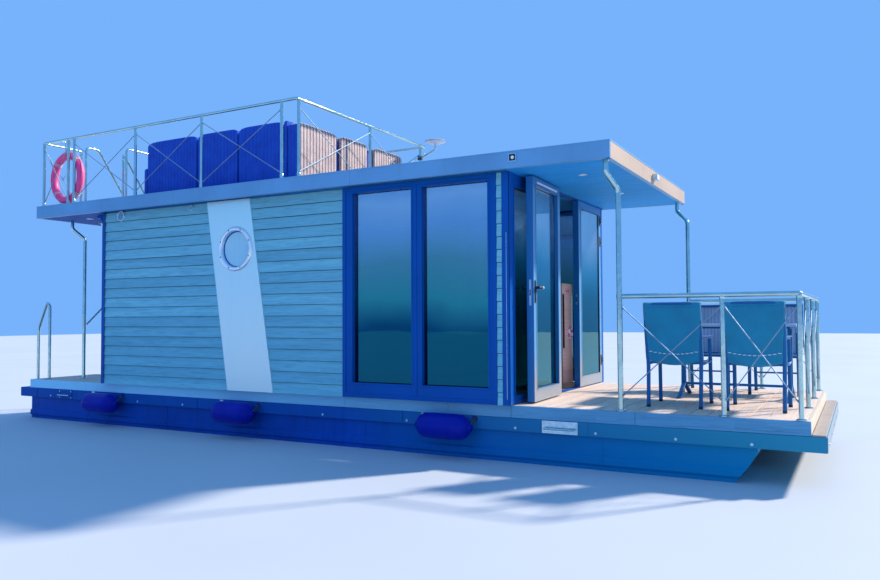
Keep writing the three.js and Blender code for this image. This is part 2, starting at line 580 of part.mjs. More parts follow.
// Outboard: cowl, leg, gearcase and fins swing on the swivel; the propeller turns
{
  const { axis, swivel, lug0, lug1, cowl, prop, shaft } = MOTOR;
  const turn = (profile, x) => new THREE.LatheGeometry(profile.map(([a, b]) => new THREE.Vector2(a, b)), 12)
    .rotateZ(-Math.PI / 2).translate(x, 0, shaft);
  const cover = standing(outline([
    [axis - 30, cowl[0]], [axis - 30, cowl[1] - 50], [axis - 90, cowl[1]], [axis - 300, cowl[1]],
    [axis - 360, cowl[1] - 60], [axis - 360, cowl[0]],
  ].reverse()), -140, 140);
  add('outboard', 'dark', join(
    cover,
    rod([axis, 0, lug0 + 25.5], [axis, 0, lug1 - 25.5], swivel, 12),
    block(axis - 80, axis - 10, -20, 20, lug0 + 40, lug1 - 40),
    block(axis - 160, axis - 70, -40, 40, shaft + 20, cowl[0] + 1),
    block(axis - 330, axis - 60, -75, 75, 306, 314),
    turn([[0, -130], [30, -130], [40, -80], [40, 60], [28, 100], [0, 118]], axis - 200),
    block(axis - 230, axis - 130, -6, 6, 34, shaft),
  ));
  const blades = [90, 210, 330].map((deg) => new THREE.BoxGeometry(14, 62, prop - 25)
    .rotateZ(0.5).translate(0, 0, (prop + 25) / 2).rotateX(THREE.MathUtils.degToRad(deg - 90))
    .translate(axis - 368, 0, shaft));
  add('propeller', 'plate', join(
    rod([axis - 400, 0, shaft], [axis - 335, 0, shaft], 34, 12),
    rod([axis - 336, 0, shaft], [axis - 330 - GAP, 0, shaft], 20, 12), blades,
  ));
}

export default group;
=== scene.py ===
"""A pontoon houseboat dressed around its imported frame.

Metres, +X to the bow, +Y to port, +Z up. Helpers come first, then the looks, then the
pieces from the hulls up, and the camera and light last.
"""
import math
import random

import bmesh
import bpy
from mathutils import Matrix, Vector


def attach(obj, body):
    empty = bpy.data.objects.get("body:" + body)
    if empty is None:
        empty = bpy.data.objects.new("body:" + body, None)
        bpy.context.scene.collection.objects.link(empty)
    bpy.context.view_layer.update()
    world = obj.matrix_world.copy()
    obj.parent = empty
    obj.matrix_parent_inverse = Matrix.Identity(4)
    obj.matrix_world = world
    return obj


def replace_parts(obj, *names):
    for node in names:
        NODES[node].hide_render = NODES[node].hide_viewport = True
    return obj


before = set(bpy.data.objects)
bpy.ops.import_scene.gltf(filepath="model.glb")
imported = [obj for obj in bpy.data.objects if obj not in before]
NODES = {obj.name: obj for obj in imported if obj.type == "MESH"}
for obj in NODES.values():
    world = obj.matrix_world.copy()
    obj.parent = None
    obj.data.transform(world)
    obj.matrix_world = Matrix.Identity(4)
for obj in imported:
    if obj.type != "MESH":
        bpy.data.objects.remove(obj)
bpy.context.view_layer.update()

# Driving dimensions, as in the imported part
WATERLINE = 0.36
DECK = {"stern": -5.09, "bow": 5.18, "y": 1.47, "z0": 0.798, "z1": 0.92}
WELL = {"x": -4.79, "y": 0.39}
CABIN = {"stern": -3.45, "bow": 2.54, "y": 1.53, "z0": 0.92, "z1": 3.22}
ROOF = {"stern": -4.695, "bow": 3.6, "y": 1.67, "z0": 3.22, "z1": 3.386}
HATCH = {"x0": -4.49, "x1": -3.87, "y0": -0.83, "y1": 0.45}
PITCH = (CABIN["z1"] - CABIN["z0"]) / 18
LEAF = {"width": 0.89, "thick": 0.075, "z0": 0.934, "z1": 3.205, "stile": 0.088, "rail": 0.125}
AFT_LEAF = {"width": 0.74, "thick": 0.045, "z0": 0.934, "z1": 2.89, "stile": 0.1, "rail": 0.0}
STARBOARD_HINGE = (2.565, -0.364)
PORT_HINGE = (2.565, 1.454)
AFT_HINGE = (-3.335, -1.236)
HINGES = (1.19, 2.74, 3.01)
AFT_HINGES = (1.12, 1.8, 2.66)
RAIL_Z = 4.3
BOW_RAIL_Z = 1.97

# Details that only the scene has
DECK_PITCH, DECK_GAP = 0.163, 0.008
SOFFIT_BOARDS = 26
RIB_PITCH, RIB_DEPTH, STRAND = 0.058, 0.008, 0.014
SLING_WIDTH = 0.536
SLAT_PITCH = 0.0956
SEAT_TOP = 3.7
BRACE_RADIUS = 0.005
SIDES = ((-1, "starboard"), (1, "port"))
UP, DOWN = (0, 0, 1), (0, 0, -1)


def srgb(r, g, b):
    """A colour given as 0-255 display values, in the shader's linear values."""
    return tuple(c / 255 / 12.92 if c <= 10 else ((c / 255 + 0.055) / 1.055) ** 2.4 for c in (r, g, b))


def shade(colour, factor):
    """The colour made darker, or lighter up to full."""
    return tuple(min(1.0, c * factor) for c in colour)


# Mesh helpers

def bent(points, bend, arcs):
    """A polyline whose corners are rounded to the bend radius."""
    corners = [Vector(p) for p in points]
    path = [corners[0]]
    for before, corner, after in zip(corners, corners[1:], corners[2:]):
        into, out = before - corner, after - corner
        reach = min(bend, into.length * 0.45, out.length * 0.45)
        start, end = corner + into.normalized() * reach, corner + out.normalized() * reach
        for k in range(arcs + 1):
            t = k / arcs
            path.append(start * (1 - t) ** 2 + corner * 2 * t * (1 - t) + end * t * t)
    path.append(corners[-1])
    return path


def spin(count):
    """Angles of that many equal steps round a circle."""
    return [2 * math.pi * k / count for k in range(count)]


class Piece:
    """Gathers closed forms into one mesh object that rides on a body."""

    def __init__(self, name, *looks, slot, body="boat"):
        self.name, self.looks, self.slot, self.body = name, looks, slot, body
        self.bm = bmesh.new()

    def face(self, corners, look=0):
        self.bm.faces.new(corners).material_index = look

    def faces(self, verts, faces, look=0):
        made = [self.bm.verts.new(v) for v in verts]
        for face in faces:
            self.face([made[i] for i in face], look)

    def skin(self, rows, look_at):
        """Joins closed rows of vertices; look_at(row, place) picks each face's look."""
        n = len(rows[0])
        for row, (low, high) in enumerate(zip(rows, rows[1:])):
            for i in range(n):
                j = (i + 1) % n
                self.face([low[i], low[j], high[j], high[i]], look_at(row, i))

    def box(self, x0, x1, ya, yb, z0, z1, look=0):
        verts = [(x, y, z) for x in (x0, x1) for y in sorted((ya, yb)) for z in (z0, z1)]
        sides = [(0, 1, 3, 2), (4, 6, 7, 5), (0, 4, 5, 1), (2, 3, 7, 6), (0, 2, 6, 4), (1, 5, 7, 3)]
        self.faces(verts, sides, look)

    def boxes(self, *rows):
        """Boxes as rows of x, x, y, y, z, z and, where it isn't the first, the look."""
        for row in rows:
            self.box(*row)

    def pairs(self, *rows):
        """The same boxes on both sides of the boat, with y counted outwards."""
        for x0, x1, y0, y1, *rest in rows:
            for side in (-1, 1):
                self.box(x0, x1, side * y0, side * y1, *rest)

    def prism(self, outline, place, a, b, look=0):
        """An outline of (u, v) points swept from a to b; place(u, v, w) gives the point."""
        n = len(outline)
        verts = [place(u, v, w) for w in (a, b) for u, v in outline]
        sides = [(i, (i + 1) % n, n + (i + 1) % n, n + i) for i in range(n)]
        self.faces(verts, sides + [tuple(range(n))[::-1], tuple(range(n, 2 * n))], look)

    def pipe(self, points, r, bend=0.0, sides=16, look=0, arcs=6):
        """A round bar along the points; r is one radius or one for each end."""
        path = bent(points, bend, arcs) if bend and len(points) > 2 else [Vector(p) for p in points]
        r0, r1 = r if isinstance(r, tuple) else (r, r)
        tangent = (path[1] - path[0]).normalized()
        across = tangent.orthogonal().normalized()
        verts = []
        for i, point in enumerate(path):
            turned = (path[min(i + 1, len(path) - 1)] - path[max(i - 1, 0)]).normalized()
            across = (tangent.rotation_difference(turned) @ across).normalized()
            tangent = turned
            other = tangent.cross(across)
            radius = r0 + (r1 - r0) * i / (len(path) - 1)
            verts += [point + (across * math.cos(a) + other * math.sin(a)) * radius for a in spin(sides)]
        last = (len(path) - 1) * sides
        faces = []
        for start in range(0, last, sides):
            for k in range(sides):
                a, b = start + k, start + (k + 1) % sides
                faces.append((a, b, b + sides, a + sides))
        self.faces(verts, faces + [tuple(range(sides))[::-1], tuple(range(last, last + sides))], look)

    def lathe(self, centre, axis, profile, steps, look=0):
        """A closed (radius, along) profile turned about an axis; radius 0 is a pole."""
        axis = Vector(axis).normalized()
        across = axis.orthogonal().normalized()
        other = axis.cross(across)
        rings = []
        for radius, along in profile:
            middle = Vector(centre) + axis * along
            rings.append([self.bm.verts.new(middle + (across * math.cos(a) + other * math.sin(a)) * radius)
                          for a in spin(steps if radius else 1)])
        pairs = list(zip(rings, rings[1:]))
        if profile[0][0] and profile[-1][0]:
            pairs.append((rings[-1], rings[0]))
        for low, high in pairs:
            for k in range(steps):
                j = (k + 1) % steps
                lower = low if len(low) == 1 else [low[k], low[j]]
                self.face(lower + (high if len(high) == 1 else [high[j], high[k]]), look)

    def stud(self, at, axis, rings, tip, steps=10, look=0):
        """A turned form that is closed at both ends: flat at its foot, and at the tip's height."""
        self.lathe(at, axis, [(0, rings[0][1]), *rings, (0, tip)], steps, look)

    def disc(self, at, axis, r, low, high, steps, look):
        self.stud(at, axis, [(r, low), (r, high)], high, steps, look)

    def ring(self, centre, axis, radius, r, steps, sides):
        profile = [(radius + r * math.cos(a), r * math.sin(a)) for a in spin(sides)]
        self.lathe(centre, axis, profile, steps)

    def bolt(self, at, axis, r, high, look):
        """A six-sided head with a washer under it."""
        self.disc(at, axis, r * 1.5, 0, high * 0.3, 12, look)
        self.stud(at, axis, [(r, 0), (r, high * 0.8), (r * 0.8, high)], high, 6, look)

    def strips(self, plane, x0, x1, z0, z1, width, near, far, look=0):
        """Four strips round an opening, inside its edge; plane maps (across, up, depth)."""
        x2, x3 = x0 + width, x1 - width
        for a0, a1, b0, b1 in ((x0, x2, z0, z1), (x3, x1, z0, z1), (x2, x3, z0, z0 + width),
                               (x2, x3, z1 - width, z1)):
            self.prism([(a0, b0), (a1, b0), (a1, b1), (a0, b1)], plane, near, far, look)

    def flange(self, at, r):
        """A welded foot plate with its collar and four screws."""
        rings = [(r, 0), (r, 0.005), (r - 0.004, 0.008), (r * 0.55, 0.0095), (r * 0.5, 0.016)]
        self.stud(at, UP, rings, 0.016, 28)
        for k in range(4):
            angle = math.radians(45 + 90 * k)
            screw = Vector(at) + Vector((r * 0.78 * math.cos(angle), r * 0.78 * math.sin(angle), 0.006))
            self.stud(screw, UP, [(0.0055, 0), (0.0045, 0.003)], 0.004)

    def move(self, matrix):
        bmesh.ops.transform(self.bm, matrix=matrix, verts=self.bm.verts)
        return self

    def mesh(self):
        bmesh.ops.recalc_face_normals(self.bm, faces=self.bm.faces)
        mesh = bpy.data.meshes.new(self.name)
        self.bm.to_mesh(mesh)
        self.bm.free()
        for look in self.looks:
            mesh.materials.append(look)
        obj = bpy.data.objects.new(self.name, mesh)
        bpy.context.scene.collection.objects.link(obj)
        return obj

    def done(self, bevel=0.0, segments=2, angle=35):
        obj = self.mesh()
        obj.data.polygons.foreach_set("use_smooth", [True] * len(obj.data.polygons))
        if bevel:
            soften(obj, bevel, segments, angle)
        else:
            obj.data.set_sharp_from_angle(angle=math.radians(angle))
        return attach(obj, self.body)


def soften(obj, width, segments=2, angle=35):
    """Rounds the sharp edges of a mesh."""
    bevel = obj.modifiers.new("edges", "BEVEL")
    bevel.width, bevel.segments = width, segments
    bevel.limit_method, bevel.angle_limit = "ANGLE", math.radians(angle)
    bevel.harden_normals = True


def on_x(u, v, w):
    return (w, u, v)


def on_y(u, v, w):
    return (u, w, v)


def on_z(u, v, w):
    return (u, v, w)


# Looks: colours are given as display values, apart from those of bare metal

class Look:
    """A Principled shader fed by object-space noise, grain or pattern."""

    def __init__(self, name, rough, metal=0.0, **sockets):
        self.mat = bpy.data.materials.new(name)
        self.mat.use_nodes = True
        self.tree = self.mat.node_tree
        self.shader = self.tree.nodes["Principled BSDF"]
        for socket, value in {"Metallic": metal, "Roughness": rough, **sockets}.items():
            self.shader.inputs[socket.replace("_", " ")].default_value = value
        coordinates = self.node("ShaderNodeTexCoord")
        self.place, self.normal = coordinates.outputs["Object"], coordinates.outputs["Normal"]
        self.x, self.y, self.z = self.node("ShaderNodeSeparateXYZ", Vector=self.place).outputs

    def node(self, kind, props=None, **inputs):
        made = self.tree.nodes.new(kind)
        for key, value in (props or {}).items():
            setattr(made, key, value)
        for key, value in inputs.items():
            self.put(made.inputs[key.replace("_", " ")], value)
        return made

    def put(self, socket, value):
        if isinstance(value, bpy.types.NodeSocket):
            self.tree.links.new(value, socket)
        elif isinstance(value, tuple) and len(value) == 3 and socket.type == "RGBA":
            socket.default_value = (*value, 1)
        else:
            socket.default_value = value

    def math(self, operation, a, b=0.0, kind="ShaderNodeMath"):
        made = self.node(kind, {"operation": operation})
        self.put(made.inputs[0], a)
        self.put(made.inputs[1], b)
        return made.outputs[0]

    def times(self, a, b):
        return self.math("MULTIPLY", a, b)

    def vector(self, operation, a, b):
        return self.math(operation, a, b, "ShaderNodeVectorMath")

    def wave(self, value, period):
        """A sine that turns once for each period of the value."""
        return self.math("SINE", self.times(value, 2 * math.pi / period))

    def noise(self, scale, detail, stretch=(1, 1, 1), place=None, rough=0.55, warp=0.0):
        return self.node("ShaderNodeTexNoise", Vector=self.vector("MULTIPLY", place or self.place, stretch),
                         Scale=scale, Detail=detail, Roughness=rough, Distortion=warp).outputs["Fac"]

    def spread(self, value, low, high, a=0.0, b=1.0):
        """Maps low..high to a..b, clamped."""
        made = self.node("ShaderNodeMapRange", Value=value)
        for key, number in (("From Min", low), ("From Max", high), ("To Min", a), ("To Max", b)):
            self.put(made.inputs[key], number)
        return made.outputs[0]

    def patches(self, scale, detail, a=0.0, b=1.0, low=0.3, high=0.7, stretch=(1, 1, 1)):
        """Noise spread over a..b."""
        return self.spread(self.noise(scale, detail, stretch), low, high, a, b)

    def mix(self, share, a, b):
        made = self.node("ShaderNodeMix", {"data_type": "RGBA"})
        for index, value in ((0, share), (6, a), (7, b)):
            self.put(made.inputs[index], value)
        return made.outputs[2]

    def ramp(self, value, stops):
        """Colours at places from 0 to 1, blended between."""
        made = self.node("ShaderNodeValToRGB", Fac=value)
        elements = made.color_ramp.elements
        while len(elements) < len(stops):
            elements.new(0.5)
        for element, (at, colour) in zip(elements, stops):
            element.position, element.color = at, (*srgb(*colour), 1)
        return made.outputs["Color"]

    def done(self, colour, rough=None, height=None, distance=0.0):
        """Wires the colour and, where given, the roughness and the relief."""
        self.put(self.shader.inputs["Base Color"], colour)
        if rough:
            self.put(self.shader.inputs["Roughness"], rough)
        if height:
            bump = self.node("ShaderNodeBump", Height=height, Distance=distance, Strength=1.0)
            self.put(self.shader.inputs["Normal"], bump.outputs[0])
        return self.mat


def painted(name, colour, rough=0.4, metal=0.0, vary=0.12, dirt=0.15, peel=0.0004, bow=None, **sockets):
    """Paint or powder coat: slow tone changes, fine mottling, faint streaks and orange peel. Where
    bow is given, a painted light makes it lighter and greener towards the bow."""
    look, colour = Look(name, rough, metal, **sockets), srgb(*colour)
    fine = look.patches(40, 3)
    light = shade(colour, 1 + vary)
    tone = look.mix(look.patches(1.3, 4), shade(colour, 1 - vary), light)
    streak = look.patches(5, 5, 0, dirt, 0.52, 0.75, (3, 3, 0.25))
    tone = look.mix(streak, tone, shade(colour, 0.6))
    tone = look.mix(look.times(fine, 0.12), tone, light)
    # Painted light: lighter and greener towards the bow
    if bow:
        tone = look.mix(look.spread(look.x, 0.5, 4.5), tone, srgb(*bow))
    return look.done(tone, look.spread(fine, 0, 1, rough - 0.06, rough + 0.08), look.noise(260, 2), peel)


def steel_look(name, colour, rough):
    """Polished stainless tube with drawn lines, faint smudges and rain spots."""
    look = Look(name, rough, 1.0)
    tone = look.mix(look.patches(6, 5, 0, 1, 0.4, 0.7), colour, shade(colour, 0.82))
    spots = look.patches(28, 4, rough - 0.08, rough + 0.12, 0.35, 0.7)
    return look.done(tone, spots, look.noise(300, 2, (1, 1, 0.05)), 0.0002)


def boards(name, tints, across, start, pitch, along, rough=0.6, grain=0.0012, grooves=0.0, inner=None,
           lap_shade=0.0, stern_painted_light=0.0, streaks=0.55, stern_painted_tone=None, gloss=0.5):
    """Boards laid along one axis: each has its own tint, with grain, pores and weathering, and
    lap_shade is the share of a board's top that takes painted shade, as under the next board's lip.
    stern_painted_light blends the stern end into stern_painted_tone: painted light where that tone
    is paler, painted shade where it is darker; inner is the colour on the cabin's side."""
    look = Look(name, rough, Specular_IOR_Level=gloss)
    low, mid, high = (srgb(*tint) for tint in tints)
    axis = {"x": look.x, "y": look.y, "z": look.z}[across]
    board = look.math("DIVIDE", look.math("SUBTRACT", axis, start), pitch)
    index = look.math("FLOOR", board)
    tint = look.node("ShaderNodeTexWhiteNoise", {"noise_dimensions": "1D"}, W=look.math("ADD", index, 7.3))
    shift = look.node("ShaderNodeCombineXYZ", X=look.times(index, 3.7), Y=look.times(index, 1.9),
                      Z=look.times(index, 2.3))
    place = look.vector("ADD", look.place, shift.outputs[0])
    fine = {"x": (1.2, 22, 22), "y": (22, 1.2, 22), "xy": (1.2, 1.2, 22)}[along]
    lines = look.noise(3.2, 6.0, fine, place, 0.65, 0.4)
    slow = look.noise(2.0, 3.0, tuple(c * 0.3 for c in fine), place, 0.5)
    tone = look.mix(tint.outputs["Value"], low, high)
    tone = look.mix(look.spread(slow, 0.35, 0.65), tone, mid)
    tone = look.mix(look.spread(lines, 0.45, 0.75, 0, streaks), tone, shade(low, 0.55))
    height = lines
    if grooves:
        wave = look.wave(axis, grooves)
        tone = look.mix(look.spread(wave, -1.0, -0.3, 0.38, 0), tone, shade(low, 0.45))
        height = look.math("ADD", lines, look.times(wave, 0.9))
    # Painted shade: the top of each board darkens where the next board's lip would shade it
    if lap_shade:
        share = look.math("FRACT", board)
        tone = look.mix(look.spread(share, 1 - lap_shade, 1 - lap_shade * 0.7, 0, 0.9), tone, shade(low, 0.12))
    # Painted light and shade by length: the stern end blends into stern_painted_tone
    if stern_painted_light:
        tone = look.mix(look.spread(look.x, -4.6, 4.0, stern_painted_light, 0), tone, stern_painted_tone)
    if inner:
        room = look.times(look.math("LESS_THAN", look.math("ABSOLUTE", look.y), 1.45),
                          look.math("GREATER_THAN", look.x, -3.37))
        tone = look.mix(room, tone, srgb(*inner))
    return look.done(tone, look.spread(lines, 0.3, 0.7, rough - 0.1, rough + 0.12), height, grain)


def glass_look(name, film, *stops):
    """Sun glass whose colour by height is a painted reflection, with the faintest waviness."""
    look = Look(name, 0.02, film, Transmission_Weight=0.92, IOR=1.45, Specular_IOR_Level=0.15,
                Specular_Tint=(0.3, 0.75, 0.85, 1))
    height = look.math("ADD", look.spread(look.z, 1.0, 3.2), look.patches(0.8, 3, -0.04, 0.04))
    return look.done(look.ramp(height, stops), None, look.noise(2.2, 1), 0.0006)


def lit_and_shaded_coat(name, faces, shaded_upper, edges):
    """Powder coat with painted light and shade: the bow and stern faces are painted sunlit low down and
    shaded higher up, the edges are painted in shade, and the top rail takes a painted roof shadow."""
    look = Look(name, 0.35, 0.1)
    split = look.node("ShaderNodeSeparateXYZ", Vector=look.normal)
    # Painted sunlight on the bow and stern faces, dropping away over the top rail as painted roof shadow
    lit_face_share = look.times(look.spread(look.math("ABSOLUTE", split.outputs[0]), 0.66, 0.74),
                       look.spread(look.z, 3.06, 3.13, 1.0, 0.25))
    # Painted light low down and painted shade higher up: the faces blend into shaded_upper
    tone = look.mix(look.spread(look.z, 1.16, 1.4), srgb(*faces), srgb(*shaded_upper))
    tone = look.mix(look.patches(1.6, 4, 0, 0.2), look.mix(lit_face_share, srgb(*edges), tone), (0.1, 0.14, 0.18))
    return look.done(tone, look.patches(40, 3, 0.29, 0.43), look.noise(260, 2), 0.0004)


def flat_sheet(name, top, low):
    """Smooth coated sheet: its tone changes slowly with height, in faint upright bands."""
    look = Look(name, 0.32, 0.45)
    band = look.patches(9, 2, -0.1, 0.1, stretch=(1, 1, 0.04))
    height = look.math("ADD", look.spread(look.z, CABIN["z0"], CABIN["z1"]), band)
    return look.done(look.mix(height, srgb(*low), srgb(*top)), None, look.noise(240, 2), 0.0001)


def woven(name, colour, other):
    """Flat-strand weave round upright ribs."""
    look, colour = Look(name, 0.75), srgb(*colour)
    u = look.math("ADD", look.x, look.y)
    phase = look.times(look.math("FLOOR", look.math("DIVIDE", u, RIB_PITCH / 2)), math.pi)
    row = look.math("SINE", look.math("ADD", look.times(look.z, 2 * math.pi / STRAND), phase))
    relief = look.times(look.math("ADD", look.math("ABSOLUTE", look.wave(u, RIB_PITCH)), 0.35), row)
    tone = look.mix(look.patches(7, 4), colour, srgb(*other))
    tone = look.mix(look.spread(row, -1, 0.2, 0.4, 0), tone, shade(colour, 0.45))
    return look.done(tone, look.spread(row, -1, 1, 0.9, 0.65), relief, 0.003)


def cloth(name, colour, weave=0.004, stripe=0.0):
    """Plain weave seen as crossed threads, with slow fading and, where wanted, woven stripes along x."""
    look, colour = Look(name, 0.9, Sheen_Weight=0.3), srgb(*colour)
    v = look.math("ADD", look.z, look.times(look.y, 0.37))
    threads = look.times(look.wave(look.math("ADD", look.x, look.y), weave), look.wave(v, weave))
    tone = look.mix(look.patches(4, 5), shade(colour, 0.85), shade(colour, 1.15))
    if stripe:
        tone = look.mix(look.spread(look.wave(look.x, stripe), -0.2, 0.2, 0, 0.45), tone, shade(colour, 0.4))
    tone = look.mix(look.spread(threads, -1, 1, 0.3, 0), tone, shade(colour, 0.5))
    return look.done(tone, None, threads, 0.0008)


def stage_look():
    look = Look("studio_floor", 0.7)
    tone = look.patches(0.35, 2, 0, 1, 0.35, 0.65)
    return look.done(look.mix(tone, (0.54, 0.56, 0.58), (0.57, 0.59, 0.61)))


DULL = {"Specular_IOR_Level": 0.12}
# Clapboards: lap_shade paints a shade line at the top of each board, under the next one's lip
CLADDING = boards("clapboard", [(107, 177, 194), (125, 197, 211), (141, 215, 224)], "z", 0.92, PITCH, "xy",
                  inner=(196, 190, 178), lap_shade=0.055)
NAVY = painted("navy_frame", (3, 88, 168), **DULL)
# Door leaves: bow and stern faces painted sunlit, edges and upper parts painted in shade
LEAF_LIT_AND_SHADED = lit_and_shaded_coat("leaf_lit_and_shaded", (154, 158, 162), (96, 158, 196), (4, 116, 180))
# Lower frame and hulls: the bow colour is a painted light towards the bow
STEEL_FRAME = painted("lower_frame", (12, 88, 166), 0.5, dirt=0.4, bow=(48, 146, 172), **DULL)
HULL = painted("hull_paint", (3, 78, 168), vary=0.2, dirt=0.5, bow=(2, 140, 184), **DULL)
# Roof fascia in two copies of one paint: the bow face painted sunlit, the sides and stern painted in shade
ROOF_SIDE_SHADED = painted("roof_side_shaded", (108, 164, 204), 0.4, 0.1)
ROOF_BOW_SUNLIT = painted("roof_bow_sunlit", (200, 172, 142), 0.4, 0.05)
ROOF_TOP = painted("roof_membrane", (120, 134, 152), 0.8, vary=0.15, peel=0.0012)
# Soffit: stern_painted_light darkens it towards the stern, a painted shade
SOFFIT = boards("soffit_boards", [(46, 168, 240), (50, 174, 245), (54, 180, 250)], "y", -1.67, 0.1284, "x",
                grain=0.0004, stern_painted_light=0.9, stern_painted_tone=srgb(2, 80, 170), gloss=0.08)
PANEL = flat_sheet("flat_panel", (212, 249, 248), (238, 250, 244))
STEEL = steel_look("stainless", (0.5, 0.69, 0.66), 0.15)
SATIN = steel_look("satin_plate", (0.52, 0.72, 0.84), 0.35)
BRIGHT = steel_look("bright_ring", (0.97, 0.98, 1.0), 0.38)
BRACE = steel_look("brace_rod", (0.32, 0.44, 0.54), 0.6)
# Side glass: the colour stops by height paint a reflection, dark green-blue low and pale sky high
GLASS = glass_look("side_glass", 0.6, (0.0, (0, 92, 122)), (0.3, (0, 100, 128)), (0.44, (84, 186, 176)),
                   (0.62, (132, 190, 190)), (0.8, (176, 212, 236)), (0.92, (214, 232, 244)),
                   (1.0, (170, 208, 236)))
# Door glass: its colour stops by height likewise paint a reflection
CLEAR = glass_look("door_glass", 0.45, (0.0, (40, 136, 150)), (0.25, (4, 122, 128)), (0.45, (10, 150, 160)),
                   (0.62, (120, 208, 220)), (0.78, (244, 250, 252)))
PORT_GLASS = painted("porthole_blind", (180, 224, 233), 0.12, vary=0.08, Coat_Weight=0.8)
VENT_CAP = painted("vent_cap", (104, 168, 196), 0.6)
GASKET = painted("gasket", (14, 28, 56), 0.7)
DECKING = boards("decking", [(238, 206, 184), (246, 216, 194), (250, 224, 204)], "x", DECK["stern"],
                 DECK_PITCH, "y", rough=0.7, grain=0.0016, grooves=DECK_PITCH / 10)
# Deck fascia: stern_painted_light pales it towards the stern and the middle, a painted light
FASCIA = boards("deck_fascia", [(84, 150, 182), (94, 160, 192), (102, 168, 200)], "x", DECK["stern"], 1.21,
                "x", rough=0.65, grain=0.0014, stern_painted_light=1.0, stern_painted_tone=(0.46, 0.84, 1.0))
# Bow fascia: the same boards as the side fascia, painted as sunlit; the side copy is painted in shade
FASCIA_BOW_SUNLIT = boards("bow_fascia_sunlit", [(206, 190, 166), (214, 198, 174), (222, 206, 182)], "z", 0.5, 1.0, "y",
                    rough=0.65, grain=0.0014, streaks=0.2)
LEDGE = boards("ledge_boards", [(160, 144, 130), (170, 154, 138), (178, 162, 146)], "z", 0.5, 1.0, "y",
               grain=0.001, streaks=0.25)
BOW_BOARD = painted("bow_board", (146, 158, 166), 0.5)
LAMINATE = boards("cabin_floor", [(146, 112, 82), (164, 128, 96), (182, 146, 112)], "y", -1.44, 0.19, "x",
                  rough=0.35, grain=0.0004)
UNDER = painted("underdeck", (24, 34, 48), 0.9)
RING_RED = painted("ring_red", (252, 74, 140), 0.45, vary=0.08, dirt=0.1)
RING_BAND = cloth("ring_band", (238, 160, 184), 0.006)
TAPE = painted("reflective_tape", (226, 230, 240), 0.35, vary=0.04)
ROPE = cloth("rope", (212, 214, 224), 0.006)
FENDER = painted("fender_vinyl", (4, 30, 154), vary=0.2, dirt=0.3, Specular_IOR_Level=0.15)
STRAP = cloth("strap", (12, 26, 74), 0.005)
# Rattan in a shaded and a sunlit copy of one weave: painted shade and painted light
RATTAN_SHADED = woven("rattan_shaded", (13, 98, 226), (10, 80, 208))
RATTAN_SUNLIT = woven("rattan_sunlit", (247, 221, 209), (211, 183, 178))
# Valley looks: darker copies that paint shade between the ribs
VALLEY_SHADE_ON_SHADED = woven("valley_shade_on_shaded_rattan", (12, 90, 214), (10, 74, 196))
VALLEY_SHADE_ON_SUNLIT = woven("valley_shade_on_sunlit_rattan", (112, 96, 110), (92, 80, 96))
CUSHION = cloth("cushion_cloth", (196, 200, 210))
PIPING = cloth("piping", (120, 128, 146))
SOFA = cloth("sofa_cloth", (122, 112, 108))
SLING = cloth("sling_cloth", (22, 149, 185), 0.006)
# Sling inner side: its woven stripes are real, its lightness is a painted light as if sun came through the
# cloth
SLING_INNER_PAINTED_LIGHT = cloth("sling_inner_painted_light", (180, 205, 232), 0.006, stripe=0.04)
ARMREST = painted("armrest", (60, 96, 150), 0.3)
CHAIR = painted("chair_frame", (30, 104, 160), 0.45, Specular_IOR_Level=0.2)
TABLE = boards("table_slats", [(96, 104, 120), (110, 118, 134), (122, 130, 146)], "y", -0.23, SLAT_PITCH,
               "x", rough=0.5, grain=0.0006)
TABLE_EDGE = painted("table_edge", (150, 190, 225), 0.35)
WOOD = boards("console_wood", [(226, 158, 138), (234, 168, 148), (240, 176, 156)], "y", -3.0, 9.0, "xy",
              rough=0.4, grain=0.0005)
LACQUER = painted("cupboard", (214, 210, 204), 0.3, vary=0.04, dirt=0.03)
BLACK = painted("black_plastic", (20, 24, 34))
WHITE = painted("white_plastic", (226, 232, 240), 0.3, vary=0.05, dirt=0.08)
LAMP = painted("lamp_lens", (250, 248, 240), 0.2, vary=0.02, dirt=0.0)
COWL = painted("motor_cowl", (30, 36, 48), 0.25, vary=0.1, Coat_Weight=0.6)
MOTOR_LEG = painted("motor_leg", (52, 60, 74), 0.35, 0.2)


def dress(look, *names, bevel=0.0):
    """Gives carried-over CAD nodes their look and, where wanted, softened edges."""
    for name in names:
        node = NODES[name]
        node.data.materials.clear()
        node.data.materials.append(look)
        if bevel:
            weld = node.modifiers.new("weld", "WELD")
            weld.merge_threshold = 0.0001
            soften(node, bevel)


# Hulls and deck: plate seams, bolts, boards and planks, then what hangs on them

def hulls():
    dress(HULL, "hull_starboard", "hull_port", bevel=0.004)
    seams = Piece("hull_seams", HULL, STEEL_FRAME, slot="hull")
    outline = [(-1.4395, 0.1), (-1.4395, 0.395), (-1.4615, 0.415), (-1.4615, 0.47), (-1.4395, 0.49),
               (-1.4395, 0.668), (-1.436, 0.668), (-1.436, 0.488), (-1.455, 0.47), (-1.455, 0.415),
               (-1.436, 0.397), (-1.436, 0.1)]
    for side, _ in SIDES:
        for x in (-3.84, -2.3, -0.77, 0.763, 2.09, 3.42):
            seams.prism([(side * y, z) for y, z in outline], on_x, x - 0.012, x + 0.012)
        for x in (-4.6, -3.1, -1.55, 0.0, 1.42, 2.75, 4.1):
            seams.bolt((x, side * 1.4568, 0.443), (0, side, 0), 0.007, 0.004, 1)
    seams.done()


